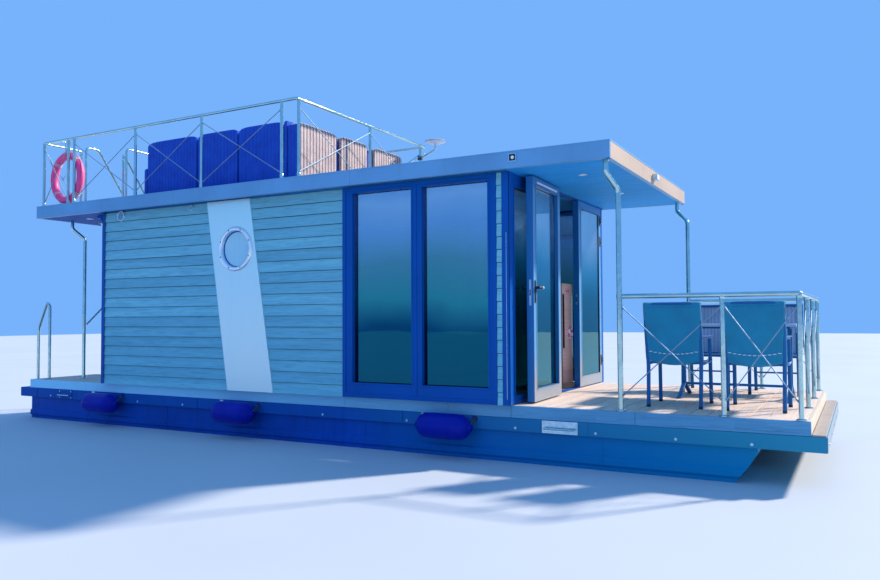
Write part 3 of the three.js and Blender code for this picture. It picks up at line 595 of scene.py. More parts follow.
def lower_frame():
    dress(STEEL_FRAME, "deck_frame", bevel=0.004)
    trim = Piece("frame_trim", STEEL_FRAME, SATIN, slot="frame")
    for side, _ in SIDES:
        for x in (-4.6, -3.62, -2.8, -1.974, -0.76, 0.227, 1.331, 2.571, 3.376, 4.1, 4.726):
            trim.bolt((x, side * 1.48, 0.702), (0, side, 0), 0.009, 0.006, 1)
        for x in (-4.913, -1.72, 1.28, 3.3):
            trim.box(x - 0.003, x + 0.003, side * 1.4825 - 0.003, side * 1.4825 + 0.001, 0.671, 0.796)
    for x, way, places in ((5.3015, 1, (-1.3, -0.65, 0.0, 0.65, 1.3)), (-5.295, -1, (-0.8, 0.75, 1.3))):
        for y in places:
            trim.bolt((x, y, 0.72), (way, 0, 0), 0.009, 0.006, 1)
    trim.done(0.0008, 1)

    steps = Piece("ledge_boards", LEDGE, BOW_BOARD, slot="deck")
    steps.pairs((5.186, 5.29, 0.006, 1.474, 0.7985, 0.812), (5.2952, 5.3015, 0.003, 1.476, 0.672, 0.797, 1))
    for y0, y1 in ((-0.885, -0.396), (0.396, 1.474)):
        steps.box(-5.288, -5.096, y0, y1, 0.7985, 0.812)
    steps.done(0.003)


def deck():
    planks = Piece("deck_planks", DECKING, UNDER, slot="deck")
    stern, bow, side_y, z0, top = DECK.values()
    well_x, well_y = WELL.values()
    inset = 0.026
    edge = side_y - inset
    rnd = random.Random(3)
    for start, end in ((stern + inset, CABIN["stern"] + 0.03), (CABIN["bow"] - 0.095, bow - inset)):
        first = math.floor((start - stern) / DECK_PITCH)
        for i in range(first, 90):
            x0 = max(start, stern + i * DECK_PITCH + DECK_GAP / 2)
            x1 = min(end, stern + (i + 1) * DECK_PITCH - DECK_GAP / 2)
            if x0 >= end - 0.01:
                break
            if x1 - x0 < 0.01:
                continue
            high = top - rnd.uniform(0.0, 0.0012)
            if x0 >= well_x:
                planks.box(x0, x1, -edge, edge, top - 0.026, high)
                continue
            if x1 > well_x > x0 + 0.03:
                x1 = well_x - DECK_GAP / 2
            planks.pairs((x0, x1, well_y + 0.004, edge, top - 0.026, high))
    planks.box(well_x, bow - 0.03, -edge, edge, z0 + 0.001, top - 0.028, 1)
    planks.pairs((stern + 0.03, well_x, well_y, edge, z0 + 0.001, top - 0.028, 1))
    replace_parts(planks.done(0.002, 1), "deck")

    edges = Piece("deck_fascia", FASCIA, FASCIA_BOW_SUNLIT, slot="deck")
    joints = [stern, -3.86, -2.79, -1.715, -0.626, 0.528, 1.821, 2.522, 3.74, bow]
    low, high, thick = z0 + 0.001, top - 0.003, 0.024
    for a, b in zip(joints, joints[1:]):
        edges.pairs((a + 0.0015, b - 0.0015, side_y - thick, side_y, low, high),
                    (a + 0.0015, b - 0.0015, side_y, side_y + 0.004, z0 + 0.002, z0 + 0.026))
    # The bow board takes the sunlit copy of the fascia: painted light
    edges.pairs((bow - thick, bow, 0.002, side_y - 0.025, low, high, 1),
                (stern, stern + thick, well_y + 0.002, side_y - 0.025, low, high))
    edges.box(well_x - thick, well_x, -well_y, well_y, low, high)
    edges.done(0.003)

    room = Piece("cabin_floor", LAMINATE, slot="wood")
    room.box(CABIN["stern"] + 0.092, CABIN["bow"] - 0.1, -1.4395, 1.4395, top - 0.02, top)
    room.done(0.001, 1)


def cleats():
    plates = Piece("mooring_cleats", SATIN, STEEL, STEEL_FRAME, slot="plate")
    for x0, x1, look in ((2.85, 3.205, 0), (-4.413, -4.13, 2)):
        middle, half = (x0 + x1) / 2, (x1 - x0) / 2
        plates.pairs((x0, x1, 1.4803, 1.4863, 0.674, 0.793, look))
        for side, _ in SIDES:
            face = side * 1.4803
            for dx in (-half + 0.018, half - 0.018):
                for z in (0.692, 0.775):
                    plates.bolt((middle + dx, face + side * 0.006, z), (0, side, 0), 0.006, 0.004, 1)
            near, far = face + side * 0.005, face + side * 0.038
            for dx in (-half * 0.42, half * 0.42):
                plates.pipe([(middle + dx, near, 0.722), (middle + dx, far, 0.722)], 0.011, look=1)
            bar, reach = face + side * 0.04, half * 0.86
            plates.pipe([(middle - reach, bar, 0.722), (middle + reach, bar, 0.722)], 0.0095, look=1)
    plates.done(0.0015)


def fenders():
    half_profile = [(0, 0.318), (0.03, 0.317), (0.038, 0.309), (0.038, 0.296), (0.062, 0.286), (0.095, 0.262),
                    (0.118, 0.23), (0.1265, 0.19), (0.129, 0.14), (0.1297, 0.06)]
    profile = [(r, -w) for r, w in half_profile] + half_profile[::-1]
    for place, x, z in (("aft", -3.37, 0.671), ("mid", -1.0, 0.671), ("bow", 1.84, 0.692)):
        for side, half in SIDES:
            y = side * 1.6103
            body = Piece(f"fender_{place}_{half}_body", FENDER, STRAP, STEEL, slot="fender")
            body.lathe((x, y, z), (1, 0, 0), profile, 40)
            for end in (-1, 1):
                strap_x = x + end * 0.298
                body.ring((x + end * 0.306, y, z), UP, 0.02, 0.007, 20, 10)
                body.pipe([(x + end * 0.3, y, z + 0.02), (x + end * 0.3, side * 1.532, z + 0.052),
                           (strap_x, side * 1.4865, min(z + 0.085, 0.782))], 0.016, 0.03, 10, 1)
                body.box(strap_x - 0.028, strap_x + 0.028, side * 1.48, side * 1.49, 0.752, 0.796, 2)
            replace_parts(body.done(angle=50), f"fender_{place}_{half}")


# Cabin

def walls():
    dress(CLADDING, "wall_starboard", "wall_port", "wall_aft")
    trims = Piece("corner_trims", NAVY, SATIN, slot="trim")
    strip = Piece("corner_boards", CLADDING, slot="cladding")
    vents = Piece("wall_vents", BRIGHT, VENT_CAP, slot="steel")
    z0, z1, near, far = 0.922, 3.219, 1.5305, 1.538
    trims.pairs((-3.457, -3.404, near, far, z0, z1), (-3.457, -3.4505, 1.478, far, z0, z1),
                (2.468, 2.547, near, far, z0, z1), (2.5405, 2.547, 1.478, far, z0, z1),
                (0.5405, 0.5445, 1.5, 1.536, z0, z1), (2.512, 2.517, 1.5375, 1.5405, 0.98, 2.62, 1))
    for side, _ in SIDES:
        for i in range(18):
            low, high = 0.921 + i * PITCH, 0.921 + (i + 1) * PITCH - 0.006
            outline = [(side * y, z) for y, z in ((near, low), (1.543, low), (1.534, high), (near, high))]
            strip.prism(outline, on_x, 2.4115, 2.4665)
        for x, z, r in ((-3.09, 3.158, 0.07), (-1.79, 3.175, 0.034)):
            at, out = (x, side * 1.52, z), (0, side, 0)
            vents.lathe(at, out, [(r * 0.78, 0), (r, 0), (r, 0.014), (r * 0.95, 0.021), (r * 0.84, 0.021),
                                  (r * 0.78, 0.012)], 40)
            vents.stud(at, out, [(r * 0.8, 0), (r * 0.8, 0.012), (r * 0.6, 0.015)], 0.016, 40, 1)
    trims.done(0.002, 2)
    strip.done(0.0015, 1)
    vents.done()


def panels():
    dress(PANEL, "panel_starboard", "panel_port", bevel=0.0015)
    edging = Piece("panel_edging", SATIN, slot="panel")
    for side, _ in SIDES:
        for bottom, top, toward in ((-1.166, -1.518, 0.004), (-0.449, -0.819, -0.004)):
            outline = [(bottom, 0.922), (bottom + toward, 0.922), (top + toward, 3.218), (top, 3.218)]
            edging.prism(outline, on_y, *sorted((side * 1.5322, side * 1.5362)))
    edging.done(0.0008, 1)
    x, z = -1.04, 2.623
    for side, half in SIDES:
        out = (0, side, 0)
        ring = Piece(f"porthole_{half}_ring", BRIGHT, PORT_GLASS, GASKET, NAVY, slot="steel")
        ring.lathe((x, 0, z), out, [
            (0.2165, 1.441), (0.2165, 1.512), (0.222, 1.548), (0.23, 1.5545), (0.242, 1.556), (0.254, 1.5545),
            (0.264, 1.549), (0.2695, 1.541), (0.2695, 1.5345), (0.2245, 1.5345), (0.2245, 1.441)], 64)
        ring.lathe((x, 0, z), out, [(0.206, 1.497), (0.2165, 1.497), (0.2165, 1.508), (0.21, 1.508)], 64, 3)
        ring.disc((x, 0, z), out, 0.2163, 1.49, 1.5, 64, 1)
        for k in range(8):
            angle = math.radians(22.5 + 45 * k)
            at = (x + 0.242 * math.cos(angle), side * 1.5555, z + 0.242 * math.sin(angle))
            ring.stud(at, out, [(0.0085, 0), (0.0075, 0.0035)], 0.0045, 12, 2)
        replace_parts(ring.done(), f"porthole_{half}")


def windows():
    dress(NAVY, "window_frame_starboard", "window_frame_port", bevel=0.003)
    dress(GLASS, "window_glass_starboard", "window_glass_port")
    for side, half in SIDES:
        beads = Piece(f"window_beads_{half}", NAVY, slot="trim")
        face = side * 1.532
        beads.strips(on_y, 0.547, 2.408, 0.924, 3.217, 0.04, face, side * 1.541)
        for x0, x1 in ((0.668, 1.433), (1.547, 2.32)):
            beads.strips(on_y, x0 - 0.01, x1 + 0.01, 1.065, 3.17, 0.018, face, side * 1.5375)
            beads.strips(on_y, x0, x1, 1.075, 3.16, 0.004, side * 1.4805, side * 1.5)
        beads.boxes((1.487, 1.493, face, side * 1.539, 0.966, 3.176),
                    (0.549, 2.406, face, side * 1.549, 0.922, 0.94))
        beads.done(0.0015)


def bow_wall():
    dress(NAVY, "bow_frame", bevel=0.003)
    dress(CLEAR, "bow_pane")
    parts = Piece("bow_wall_fittings", NAVY, GASKET, SATIN, slot="trim")
    parts.strips(on_x, -1.4, -0.47, 1.0, 3.09, 0.01, 2.5402, 2.5215, 1)
    parts.strips(on_x, -1.412, -0.458, 0.988, 3.102, 0.018, 2.54, 2.546)
    parts.strips(on_x, -0.3685, 1.4585, 0.924, 3.2195, 0.0085, 2.54, 2.545)
    parts.box(2.452, 2.538, -0.358, 1.448, 0.9205, 0.9255, 2)
    parts.done(0.0015)


def lever(parts, face, at, y):
    """A door lever on its rose, with a lock rose under it, on one face of a leaf."""
    out = (face, 0, 0)
    parts.box(*sorted((at, at + face * 0.0095)), y - 0.0175, y + 0.0175, 1.928, 2.152, 1)
    rose = [(0.02, 0.009), (0.02, 0.014), (0.0145, 0.017), (0.0145, 0.04)]
    parts.stud((at, y, 2.08), out, rose, 0.04, 20, 1)
    grip = at + face * 0.0405
    parts.pipe([(at + face * 0.04, y + 0.012, 2.08), (grip, y - 0.02, 2.08), (grip, y - 0.1, 2.08)],
               0.0135, 0.02, 14, 1)
    parts.pipe([(grip, y - 0.1, 2.08), (grip, y - 0.13, 2.08)], 0.0139, sides=14, look=3)
    parts.disc((at, y, 1.975), out, 0.013, 0.009, 0.014, 20, 2)
    parts.box(*sorted((at + face * 0.013, at + face * 0.0145)), y - 0.0012, y + 0.0012, 1.969, 1.981, 1)
    for z in (1.94, 2.14):
        parts.stud((at, y, z), out, [(0.005, 0.009), (0.004, 0.012)], 0.012, 10, 2)


def leaf_fittings(name, body, matrix, glazed, handled, leaf, heights):
    """Beads, levers and hinge barrels in the leaf's own frame, its axis at the origin."""
    parts = Piece(name, LEAF_LIT_AND_SHADED, GASKET, STEEL, SATIN, WHITE, slot="trim", body=body)
    outer, inner = -0.01, -0.01 - leaf["thick"]
    y0, y1 = 0.01, 0.01 + leaf["width"]
    z0, z1, stile = leaf["z0"], leaf["z1"], leaf["stile"]
    if glazed:
        a, b, c, d = y0 + stile, y1 - stile, z0 + leaf["rail"], z1 - stile
        for x0, near, x1, x2 in ((outer - 0.0078, outer - 0.0018, outer, outer + 0.004),
                                 (outer - 0.0322, outer - 0.0382, inner, inner - 0.004)):
            parts.strips(on_x, a, b, c, d, 0.006, x0, near, 1)
            parts.strips(on_x, a, b, c, d, 0.003, near, x1)
            parts.strips(on_x, a - 0.012, b + 0.012, c - 0.012, d + 0.012, 0.012, x1, x2)
        parts.box(inner - 0.0085, inner, y0 + 0.12, y1 - 0.12, z1 - 0.06, z1 - 0.042, 4)
    else:
        for x1, x2 in ((outer, outer + 0.003), (inner, inner - 0.003)):
            for b0, b1 in ((z0 + 0.1, z0 + 0.86), (z0 + 0.98, z1 - 0.1)):
                parts.strips(on_x, y0 + 0.09, y1 - 0.09, b0, b1, 0.014, x1, x2)
    low, high = (1.9, 2.16) if handled else (1.93, 2.06)
    middle, lock = (outer + inner) / 2, (low + high) / 2
    parts.box(middle - 0.011, middle + 0.011, y1 - 0.001, y1 + 0.0012, low, high, 3)
    for z in (low + 0.012, high - 0.012):
        parts.stud((middle, y1 + 0.001, z), (0, 1, 0), [(0.0045, 0), (0.0035, 0.0012)], 0.0014, 10, 2)
    parts.box(middle - 0.006, middle + 0.006, y1, y1 + 0.0016, lock - 0.03, lock + 0.03, 1)
    if handled:
        lever(parts, 1, outer, y1 - stile / 2)
        lever(parts, -1, inner, y1 - stile / 2)
    for z in heights:
        barrel = [(0.0105, 0), (0.0112, 0.002), (0.0112, 0.027), (0.0105, 0.03)]
        parts.stud((0, 0, z + 0.0305), UP, barrel, 0.03, 20, 2)
        parts.box(outer, outer + 0.0045, y0 + 0.001, y0 + 0.056, z - 0.035, z + 0.095, 1)
        for dz in (-0.02, 0.08):
            screw = (outer + 0.004, y0 + 0.032, z + dz)
            parts.stud(screw, (1, 0, 0), [(0.005, 0), (0.004, 0.0015)], 0.002, 10, 2)
    parts.move(matrix).done(0.001, 1)


def doors():
    dress(LEAF_LIT_AND_SHADED, "bow_door_starboard", "bow_door_port", bevel=0.003)
    dress(NAVY, "aft_door", bevel=0.003)
    dress(CLEAR, "bow_door_starboard_glass", "bow_door_port_glass")
    parked = Matrix.Rotation(math.radians(-177.5), 4, "Z")
    mirrored = Matrix.Scale(-1, 4, (0, 1, 0))
    barrels = Piece("hinge_barrels", STEEL, slot="steel")
    for name, body, (x, y), turn, glazed, handled, leaf, heights in (
            ("starboard", "bow_door_starboard", STARBOARD_HINGE, parked, True, True, LEAF, HINGES),
            ("port", "bow_door_port", PORT_HINGE, mirrored, True, False, LEAF, HINGES),
            ("aft", "aft_door", AFT_HINGE, Matrix.Identity(4), False, True, AFT_LEAF, AFT_HINGES)):
        matrix = Matrix.Translation((x, y, 0)) @ turn
        leaf_fittings(f"door_fittings_{name}", body, matrix, glazed, handled, leaf, heights)
        for z in heights:
            barrels.lathe((x, y, z), UP, [(0, -0.002), (0.0105, 0), (0.0112, 0.002), (0.0112, 0.027),
                                          (0.0105, 0.0292), (0, 0.0292)], 20)
    barrels.done()


# Roof

def roof():
    top = Piece("roof_covering", ROOF_TOP, SOFFIT, ROOF_SIDE_SHADED, ROOF_BOW_SUNLIT, slot="roof")
    x0, x1, y, z0, z1 = ROOF["stern"], ROOF["bow"], ROOF["y"], ROOF["z0"], ROOF["z1"]
    hx0, hx1, hy0, hy1 = HATCH["x0"], HATCH["x1"], HATCH["y0"], HATCH["y1"]
    for row in ((x0 + 0.03, hx0, -y + 0.03, y - 0.03), (hx1, x1 - 0.03, -y + 0.03, y - 0.03),
                (hx0, hx1, -y + 0.03, hy0), (hx0, hx1, hy1, y - 0.03)):
        top.box(*row, z0 + 0.02, z1 - 0.004)
    # Soffit boards run the length of the overhangs
    width = (2 * y - 0.044) / SOFFIT_BOARDS
    for k in range(SOFFIT_BOARDS):
        b0, b1 = -y + 0.022 + k * width, -y + 0.022 + (k + 1) * width - 0.003
        pieces = [(x0 + 0.022, CABIN["stern"] - 0.001), (CABIN["bow"] + 0.006, x1 - 0.022)]
        if b1 > hy0 and b0 < hy1:
            pieces[:1] = [(x0 + 0.022, hx0), (hx1, CABIN["stern"] - 0.001)]
        for c0, c1 in pieces:
            top.box(c0, c1, b0, b1, z0 + 0.003, z0 + 0.019, 1)
    top.box(CABIN["stern"], CABIN["bow"], -CABIN["y"] + 0.02, CABIN["y"] - 0.02, z0 + 0.0005, z0 + 0.019, 1)
    # Fascia, top lip and drip edge: along the sides, then at the bow and the stern
    joints = (x0, -3.3, -1.96, 0.734, x1)
    for a, b in zip(joints, joints[1:]):
        top.pairs((a + 0.001, b - 0.001, y - 0.022, y, z0, z1 - 0.002, 2),
                  (a + 0.001, b - 0.001, y - 0.05, y + 0.003, z1 - 0.01, z1 + 0.002, 2),
                  (a + 0.001, b - 0.001, y - 0.045, y, z0 - 0.001, z0 + 0.004, 2))
    # The bow fascia takes the sunlit copy, the sides and stern the shaded one: painted light and shade
    top.boxes((x1 - 0.022, x1, -y + 0.023, y - 0.023, z0, z1 - 0.002, 3),
              (x1 - 0.05, x1 + 0.003, -y, y, z1 - 0.01, z1 + 0.002, 2),
              (x1 - 0.045, x1, -y + 0.001, y - 0.001, z0 - 0.001, z0 + 0.004, 2),
              (x0, x0 + 0.022, -y + 0.023, y - 0.023, z0, z1 - 0.002, 2),
              (x0 - 0.003, x0 + 0.05, -y, y, z1 - 0.01, z1 + 0.002, 2))
    top.strips(on_z, hx0, hx1, hy0, hy1, 0.012, z0 + 0.001, z1, 2)
    for x in (-3.2, -1.9, -0.1, 1.1, 2.35):
        top.box(x - 0.02, x + 0.02, -y + 0.052, y - 0.052, z1 - 0.0045, z1 - 0.001)
    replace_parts(top.done(0.002, 2), "roof")

    lights = Piece("roof_lights", SATIN, LAMP, BLACK, slot="steel")
    for at in ((3.11, -0.96), (3.11, 0.4), (-3.72, 0.9), (-4.1, -1.25)):
        at = (*at, z0 + 0.0035)
        lights.stud(at, DOWN, [(0.045, 0), (0.045, 0.004), (0.038, 0.007), (0.03, 0.004)], 0.004, 28)
        lights.stud(at, DOWN, [(0.029, 0.003), (0.026, 0.0055)], 0.0065, 24, 1)
    for side, _ in SIDES:
        face = side * 1.67
        lights.strips(on_y, 2.606, 2.69, 3.278, 3.362, 0.01, face, face + side * 0.014)
        lights.stud((2.648, face, 3.32), (0, side, 0), [(0.018, 0.004), (0.016, 0.012)], 0.014, 20, 1)
    lights.pairs((2.615, 2.681, 1.67, 1.675, 3.287, 3.353, 2))
    lights.boxes((3.6, 3.65, -0.075, 0.03, 3.262, 3.325), (3.6495, 3.655, -0.067, 0.022, 3.27, 3.317, 1),
                 (3.6, 3.612, 0.035, 0.062, 3.272, 3.315, 2))
    lights.done(0.0025)

    brackets = Piece("stern_brackets", NAVY, STEEL, slot="steel")
    brackets.pairs((-3.7, -3.455, 1.365, 1.435, 3.18, 3.219), (-3.49, -3.4575, 1.365, 1.435, 2.985, 3.18))
    for side, _ in SIDES:
        at = side * 1.4
        brackets.prism([(-3.488, 3.18), (-3.69, 3.18), (-3.488, 3.01)], on_y, at - 0.006, at + 0.006)
        for x in (-3.66, -3.56):
            brackets.bolt((x, at - 0.022, 3.18), DOWN, 0.007, 0.005, 1)
    brackets.done(0.003)


def tube(name, path, r, bend, feet):
    """A bent tube that stands in for the solid of that name, with flanges at its feet."""
    piece = Piece(f"{name}_tube", STEEL, slot="steel")
    piece.pipe(path, r, bend, 24, arcs=8)
    for foot, radius in feet:
        piece.flange(foot, radius)
    return piece


def poles():
    for name, x, y, lean, side in (
            ("bow_starboard", 3.6, -1.42, 0.075, -1), ("bow_port", 3.674, 1.42, 0.149, 1),
            ("stern_starboard", -4.46, -1.06, 0.11, -1), ("stern_port", -4.46, 1.26, 0.11, 1)):
        top = (x - lean, y + side * 0.13, 3.2197)
        piece = tube(f"pole_{name}", [(x, y, 0.921), (x, y, 2.96), (*top[:2], 3.11), top], 0.025, 0.035,
                     [((x, y, 0.92), 0.05)])
        piece.stud(top, DOWN, [(0.034, 0), (0.034, 0.004), (0.029, 0.006)], 0.006, 28)
        if x > 0:
            sleeve = [(0, 0), (0.0285, 0.002), (0.0285, 0.042), (0, 0.044)]
            piece.lathe((x, y, BOW_RAIL_Z - 0.022), UP, sleeve, 24)
        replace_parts(piece.done(), f"pole_{name}")


def bow_rails():
    """Rails of the bow terrace, with a foot flange and a welded collar on each post."""
    for name, path, bend, posts in (
            ("starboard", [(3.6253, -1.42), (5.0697, -1.42)], 0, [(4.5, -1.42)]),
            ("port", [(3.6993, 1.42), (5.0697, 1.42)], 0, [(4.5, 1.42)]),
            ("front", [(5.07, -1.42), (5.11, -1.42), (5.11, 1.42), (5.07, 1.42)], 0.038,
             [(5.107, y) for y in (-1.417, -0.473, 0.473, 1.417)])):
        piece = Piece(f"bow_rail_{name}_tube", STEEL, slot="steel")
        piece.pipe([(x, y, BOW_RAIL_Z) for x, y in path], 0.022, bend, 24)
        for x, y in posts:
            piece.pipe([(x, y, 0.921), (x, y, BOW_RAIL_Z)], 0.021, sides=24)
            piece.flange((x, y, 0.92), 0.043)
            collar = [(0.0225, 0), (0.0245, 0.016), (0.0245, 0.02)]
            piece.stud((x, y, BOW_RAIL_Z - 0.036), UP, collar, 0.02, 24)
        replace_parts(piece.done(), f"bow_rail_{name}")


def roof_rails():
    """Rails of the roof terrace, the hatch guard and the two stair rails."""
    z, top = RAIL_Z, ROOF["z1"]
    corner = -4.644
    for name, path, posts in (
            ("starboard", [(-4.65, -1.0, top), (-4.65, -1.0, z), (-4.65, -1.6, z), (-0.11, -1.6, z)],
             [(corner, -1.594)] + [(x, -1.6) for x in (-4.1, -3.976, -2.738, -1.546, -0.272)]),
            ("port", [(-4.65, 0.52, top), (-4.65, 0.52, z), (-4.65, 1.34, z), (-0.11, 1.34, z)],
             [(corner, 1.334)] + [(x, 1.34) for x in (-3.976, -2.738, -1.546, -0.132)]),
            ("bow", [(-0.1097, -1.6, z), (-0.05, -1.6, z), (-0.05, 1.34, z), (-0.1097, 1.34, z)],
             [(-0.05, -1.565), (-0.05, -0.109)])):
        feet = [(path[0], 0.036)] if path[0][2] == top else []
        piece = tube(f"terrace_rail_{name}", path, 0.018, 0.05, feet)
        for x, y in posts:
            piece.pipe([(x, y, top + 0.001), (x, y, z)], 0.019, sides=24)
            piece.flange((x, y, top), 0.041)
            piece.stud((x, y, top + 0.012), UP, [(0.023, 0), (0.023, 0.05), (0.02, 0.055)], 0.055, 24)
        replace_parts(piece.done(), f"terrace_rail_{name}")

    foot = 3.3863
    for name, x, path in (
            ("hatch_guard", -3.835, [(-0.855, foot), (-0.855, 4.273), (0.48, 4.273), (0.48, foot)]),
            ("stair_rail_aft", -4.46, [(-1.06, foot), (-1.06, 4.325), (-0.85, 4.325), (0.88, 1.901),
                                        (0.88, 1.2032)]),
            ("stair_rail_bow", -3.9, [(-0.855, foot), (-0.855, 4.213), (0.88, 1.782), (0.88, 1.2032)])):
        path = [(x, y, at) for y, at in path]
        piece = tube(name, path, 0.017, 0.06, [(at, 0.036) for at in (path[0], path[-1]) if at[2] == foot])
        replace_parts(piece.done(), name)


def braces():
    """Crossed rods between the posts, each end in a tapered lug."""
    piece = Piece("rail_braces", BRACE, slot="steel")

    def brace(a, b):
        a, b = Vector(a), Vector(b)
        piece.pipe([a, b], BRACE_RADIUS, sides=12)
        along = (b - a).normalized()
        for end, way in ((a, along), (b, -along)):
            piece.pipe([end - way * 0.004, end + way * 0.03], (0.0085, 0.0065), sides=12)

    def cross(start, end, shift, low=3.47, high=4.205):
        """Two rods between (x, y) places, one falling and one rising, set apart by the shift."""
        (xa, ya), (xb, yb), (dx, dy) = start, end, shift
        brace((xa - dx, ya - dy, high), (xb - dx, yb - dy, low))
        brace((xa + dx, ya + dy, low), (xb + dx, yb + dy, high))

    for (xa, za), (xb, zb) in (((3.626, 1.865), (4.478, 1.06)), ((3.626, 1.06), (4.478, 1.86)),
                               ((4.522, 1.86), (5.086, 1.07)), ((4.522, 1.06), (5.086, 1.855))):
        for side, _ in SIDES:
            y = side * 1.42 + math.copysign(0.007, za - zb)
            start = xa + 0.074 if side > 0 and xa < 4 else xa
            brace((start, y, za), (xb, y, zb))
    for y0, y1 in ((-1.399, -0.491), (-0.455, 0.455), (0.491, 1.399)):
        cross((5.107, y0), (5.107, y1), (-0.007, 0), 1.065, 1.85)
    for y, spans in ((-1.6, ((-4.627, -4.1), (-3.959, -2.738), (-2.738, -1.546), (-1.546, -0.272))),
                     (1.34, ((-4.627, -3.976), (-3.976, -2.738), (-2.738, -1.546), (-1.546, -0.132)))):
        for a, b in spans:
            cross((a + 0.016, y), (b - 0.016, y), (0, 0.006))
    for x, spans in ((-0.05, ((-1.548, -0.126), (-0.092, 1.322))),
                     (-4.65, ((-1.578, -1.018), (0.537, 1.318)))):
        for y0, y1 in spans:
            cross((x, y0), (x, y1), (0.006, 0))
    piece.done(angle=50)


def stair():
    dress(STEEL, "roof_stair", bevel=0.002)
    grips = Piece("stair_grips", DECKING, BLACK, STEEL, slot="deck")
    for i in range(1, 10):
        y, z = 0.96 - 0.176 * i, 0.92 + 0.2466 * i
        grips.box(-4.444, -3.916, y - 0.098, y + 0.098, z, z + 0.01)
        for k in range(-3, 4):
            grips.box(-4.435, -3.925, y + k * 0.027 - 0.004, y + k * 0.027 + 0.004, z + 0.0095, z + 0.0125, 1)
        for x, way in ((-4.4765, -1), (-3.8835, 1)):
            for dy in (-0.05, 0.05):
                grips.bolt((x, y + dy, z - 0.015), (way, 0, 0), 0.007, 0.005, 2)
    grips.done(0.0015, 1)


def ladder():
    piece = Piece("swim_ladder_tube", STEEL, BLACK, slot="steel")
    y0, y1 = -1.31, -0.96
    piece.pipe([(-5.15, y0, 0.7983), (-5.15, y0, 1.65), (-4.95, y0, 2.037), (-4.89, y0, 1.977),
                (-4.89, y0, 0.9203)], 0.021, 0.06, 24, arcs=8)
    for y in (y0, y1):
        piece.pipe([(-5.14, y, 0.8123), (-5.265, y, 0.8123), (-5.265, y, 0.15)], 0.014, 0.025, 20)
        cap = [(0, -0.002), (0.017, 0.0), (0.017, 0.03), (0.014, 0.034), (0, 0.034)]
        piece.lathe((-5.265, y, 0.15), UP, cap, 20, 1)
    piece.pipe([(-5.15, y0, 0.8123), (-5.15, y1 + 0.014, 0.8123)], 0.014, sides=20)
    for z in (0.2, 0.4, 0.6):
        piece.pipe([(-5.265, y0, z), (-5.265, y1, z)], 0.012)
        piece.box(-5.283, -5.247, y0 + 0.02, y1 - 0.02, z + 0.008, z + 0.014, 1)
    for foot, r in (((-4.89, y0, 0.9203), 0.042), ((-5.15, y0, 0.7985), 0.036)):
        piece.stud(foot, UP, [(r, 0), (r, 0.005), (0.022, 0.01)], 0.014, 28)
    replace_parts(piece.done(), "swim_ladder")


def life_ring():
    piece = Piece("life_ring_body", RING_RED, RING_BAND, ROPE, STEEL, slot="ring")
    centre, steps, radius, thick = Vector((-4.235, -1.517, 3.779)), 96, 0.315, 0.0515
    sine, cosine = math.sin(math.radians(3.5)), math.cos(math.radians(3.5))

    def around(angle, reach, depth=0.0):
        x, z = reach * math.cos(angle), reach * math.sin(angle)
        return centre + Vector((x * cosine + depth * sine, depth * cosine - x * sine, z))

    def taped(i, _):
        return 1 if abs((((i + 0.5) / steps * 360 + 45) % 90) - 45) > 41 else 0

    def section(angle, r, places):
        return [around(angle, radius + r * math.cos(t), r * math.sin(t)) for t in places]

    rows = [[piece.bm.verts.new(point) for point in section(angle, thick, spin(20))] for angle in spin(steps)]
    piece.skin(rows + rows[:1], taped)
    for k in range(4):
        angle = math.radians(45 + 90 * k)
        loop = [around(angle + math.radians(t), 0.369 + 0.014 * math.sin(math.radians(2 * t)))
                for t in range(0, 91, 10)]
        piece.pipe(loop, 0.0045, sides=8, look=2)
        for side in (-1, 1):
            band = section(angle + side * math.radians(3.2), 0.053, (*spin(20), 2 * math.pi))
            piece.pipe(band, 0.0035, sides=8, look=2)
    for x in (centre.x - 0.045, centre.x + 0.045):
        piece.pipe([(x, centre.y, 4.14), (x, centre.y, 4.292), (x, -1.585, 4.292)], 0.006, 0.01, 10, look=3)
    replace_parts(piece.done(angle=50), "life_ring")


def antenna():
    piece = Piece("antenna_body", WHITE, STEEL, GASKET, slot="white")
    x, y, z = 0.128, 1.34, 4.352
    piece.lathe((x, y, z), UP, [
        (0, -0.026), (0.05, -0.0245), (0.1, -0.014), (0.138, 0.0), (0.151, 0.006), (0.155, 0.012),
        (0.152, 0.018), (0.132, 0.025), (0.1, 0.033), (0.06, 0.0395), (0, 0.042)], 48)
    seam = [(0.1553, 0.0095), (0.1565, 0.0105), (0.1565, 0.0135), (0.1553, 0.0145)]
    piece.lathe((x, y, z), UP, seam, 48, 2)
    piece.pipe([(x, y, 4.335), (x, y, 4.25), (-0.107, 1.34, 4.15)], 0.014, 0.04, 20, 1)
    piece.stud((x, y, 4.296), UP, [(0.024, 0), (0.026, 0.032)], 0.034, 20)
    piece.box(-0.162, -0.106, 1.312, 1.368, 4.118, 4.178, 2)
    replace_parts(piece.done(0.0015, 1), "antenna")


# Roof lounge: separate high-backed modules with scalloped rattan sides

def scalloped(x0, x1, y0, y1):
    """A rectangle whose sides carry half-round ribs of four points; each rib starts in a valley."""
    points = []
    corners = [(x0, y0), (x1, y0), (x1, y1), (x0, y1)]
    for (ax, ay), (bx, by) in zip(corners, corners[1:] + corners[:1]):
        length = math.hypot(bx - ax, by - ay)
        count = max(1, round(length / RIB_PITCH))
        nx, ny = (by - ay) / length, -(bx - ax) / length
        for i in range(count):
            for t in (0.0, 0.14, 0.5, 0.86):
                s = (i + t) / count
                inward = RIB_DEPTH * (1 - math.sin(math.pi * t))
                points.append((ax + (bx - ax) * s - nx * inward, ay + (by - ay) * s - ny * inward))
    return points


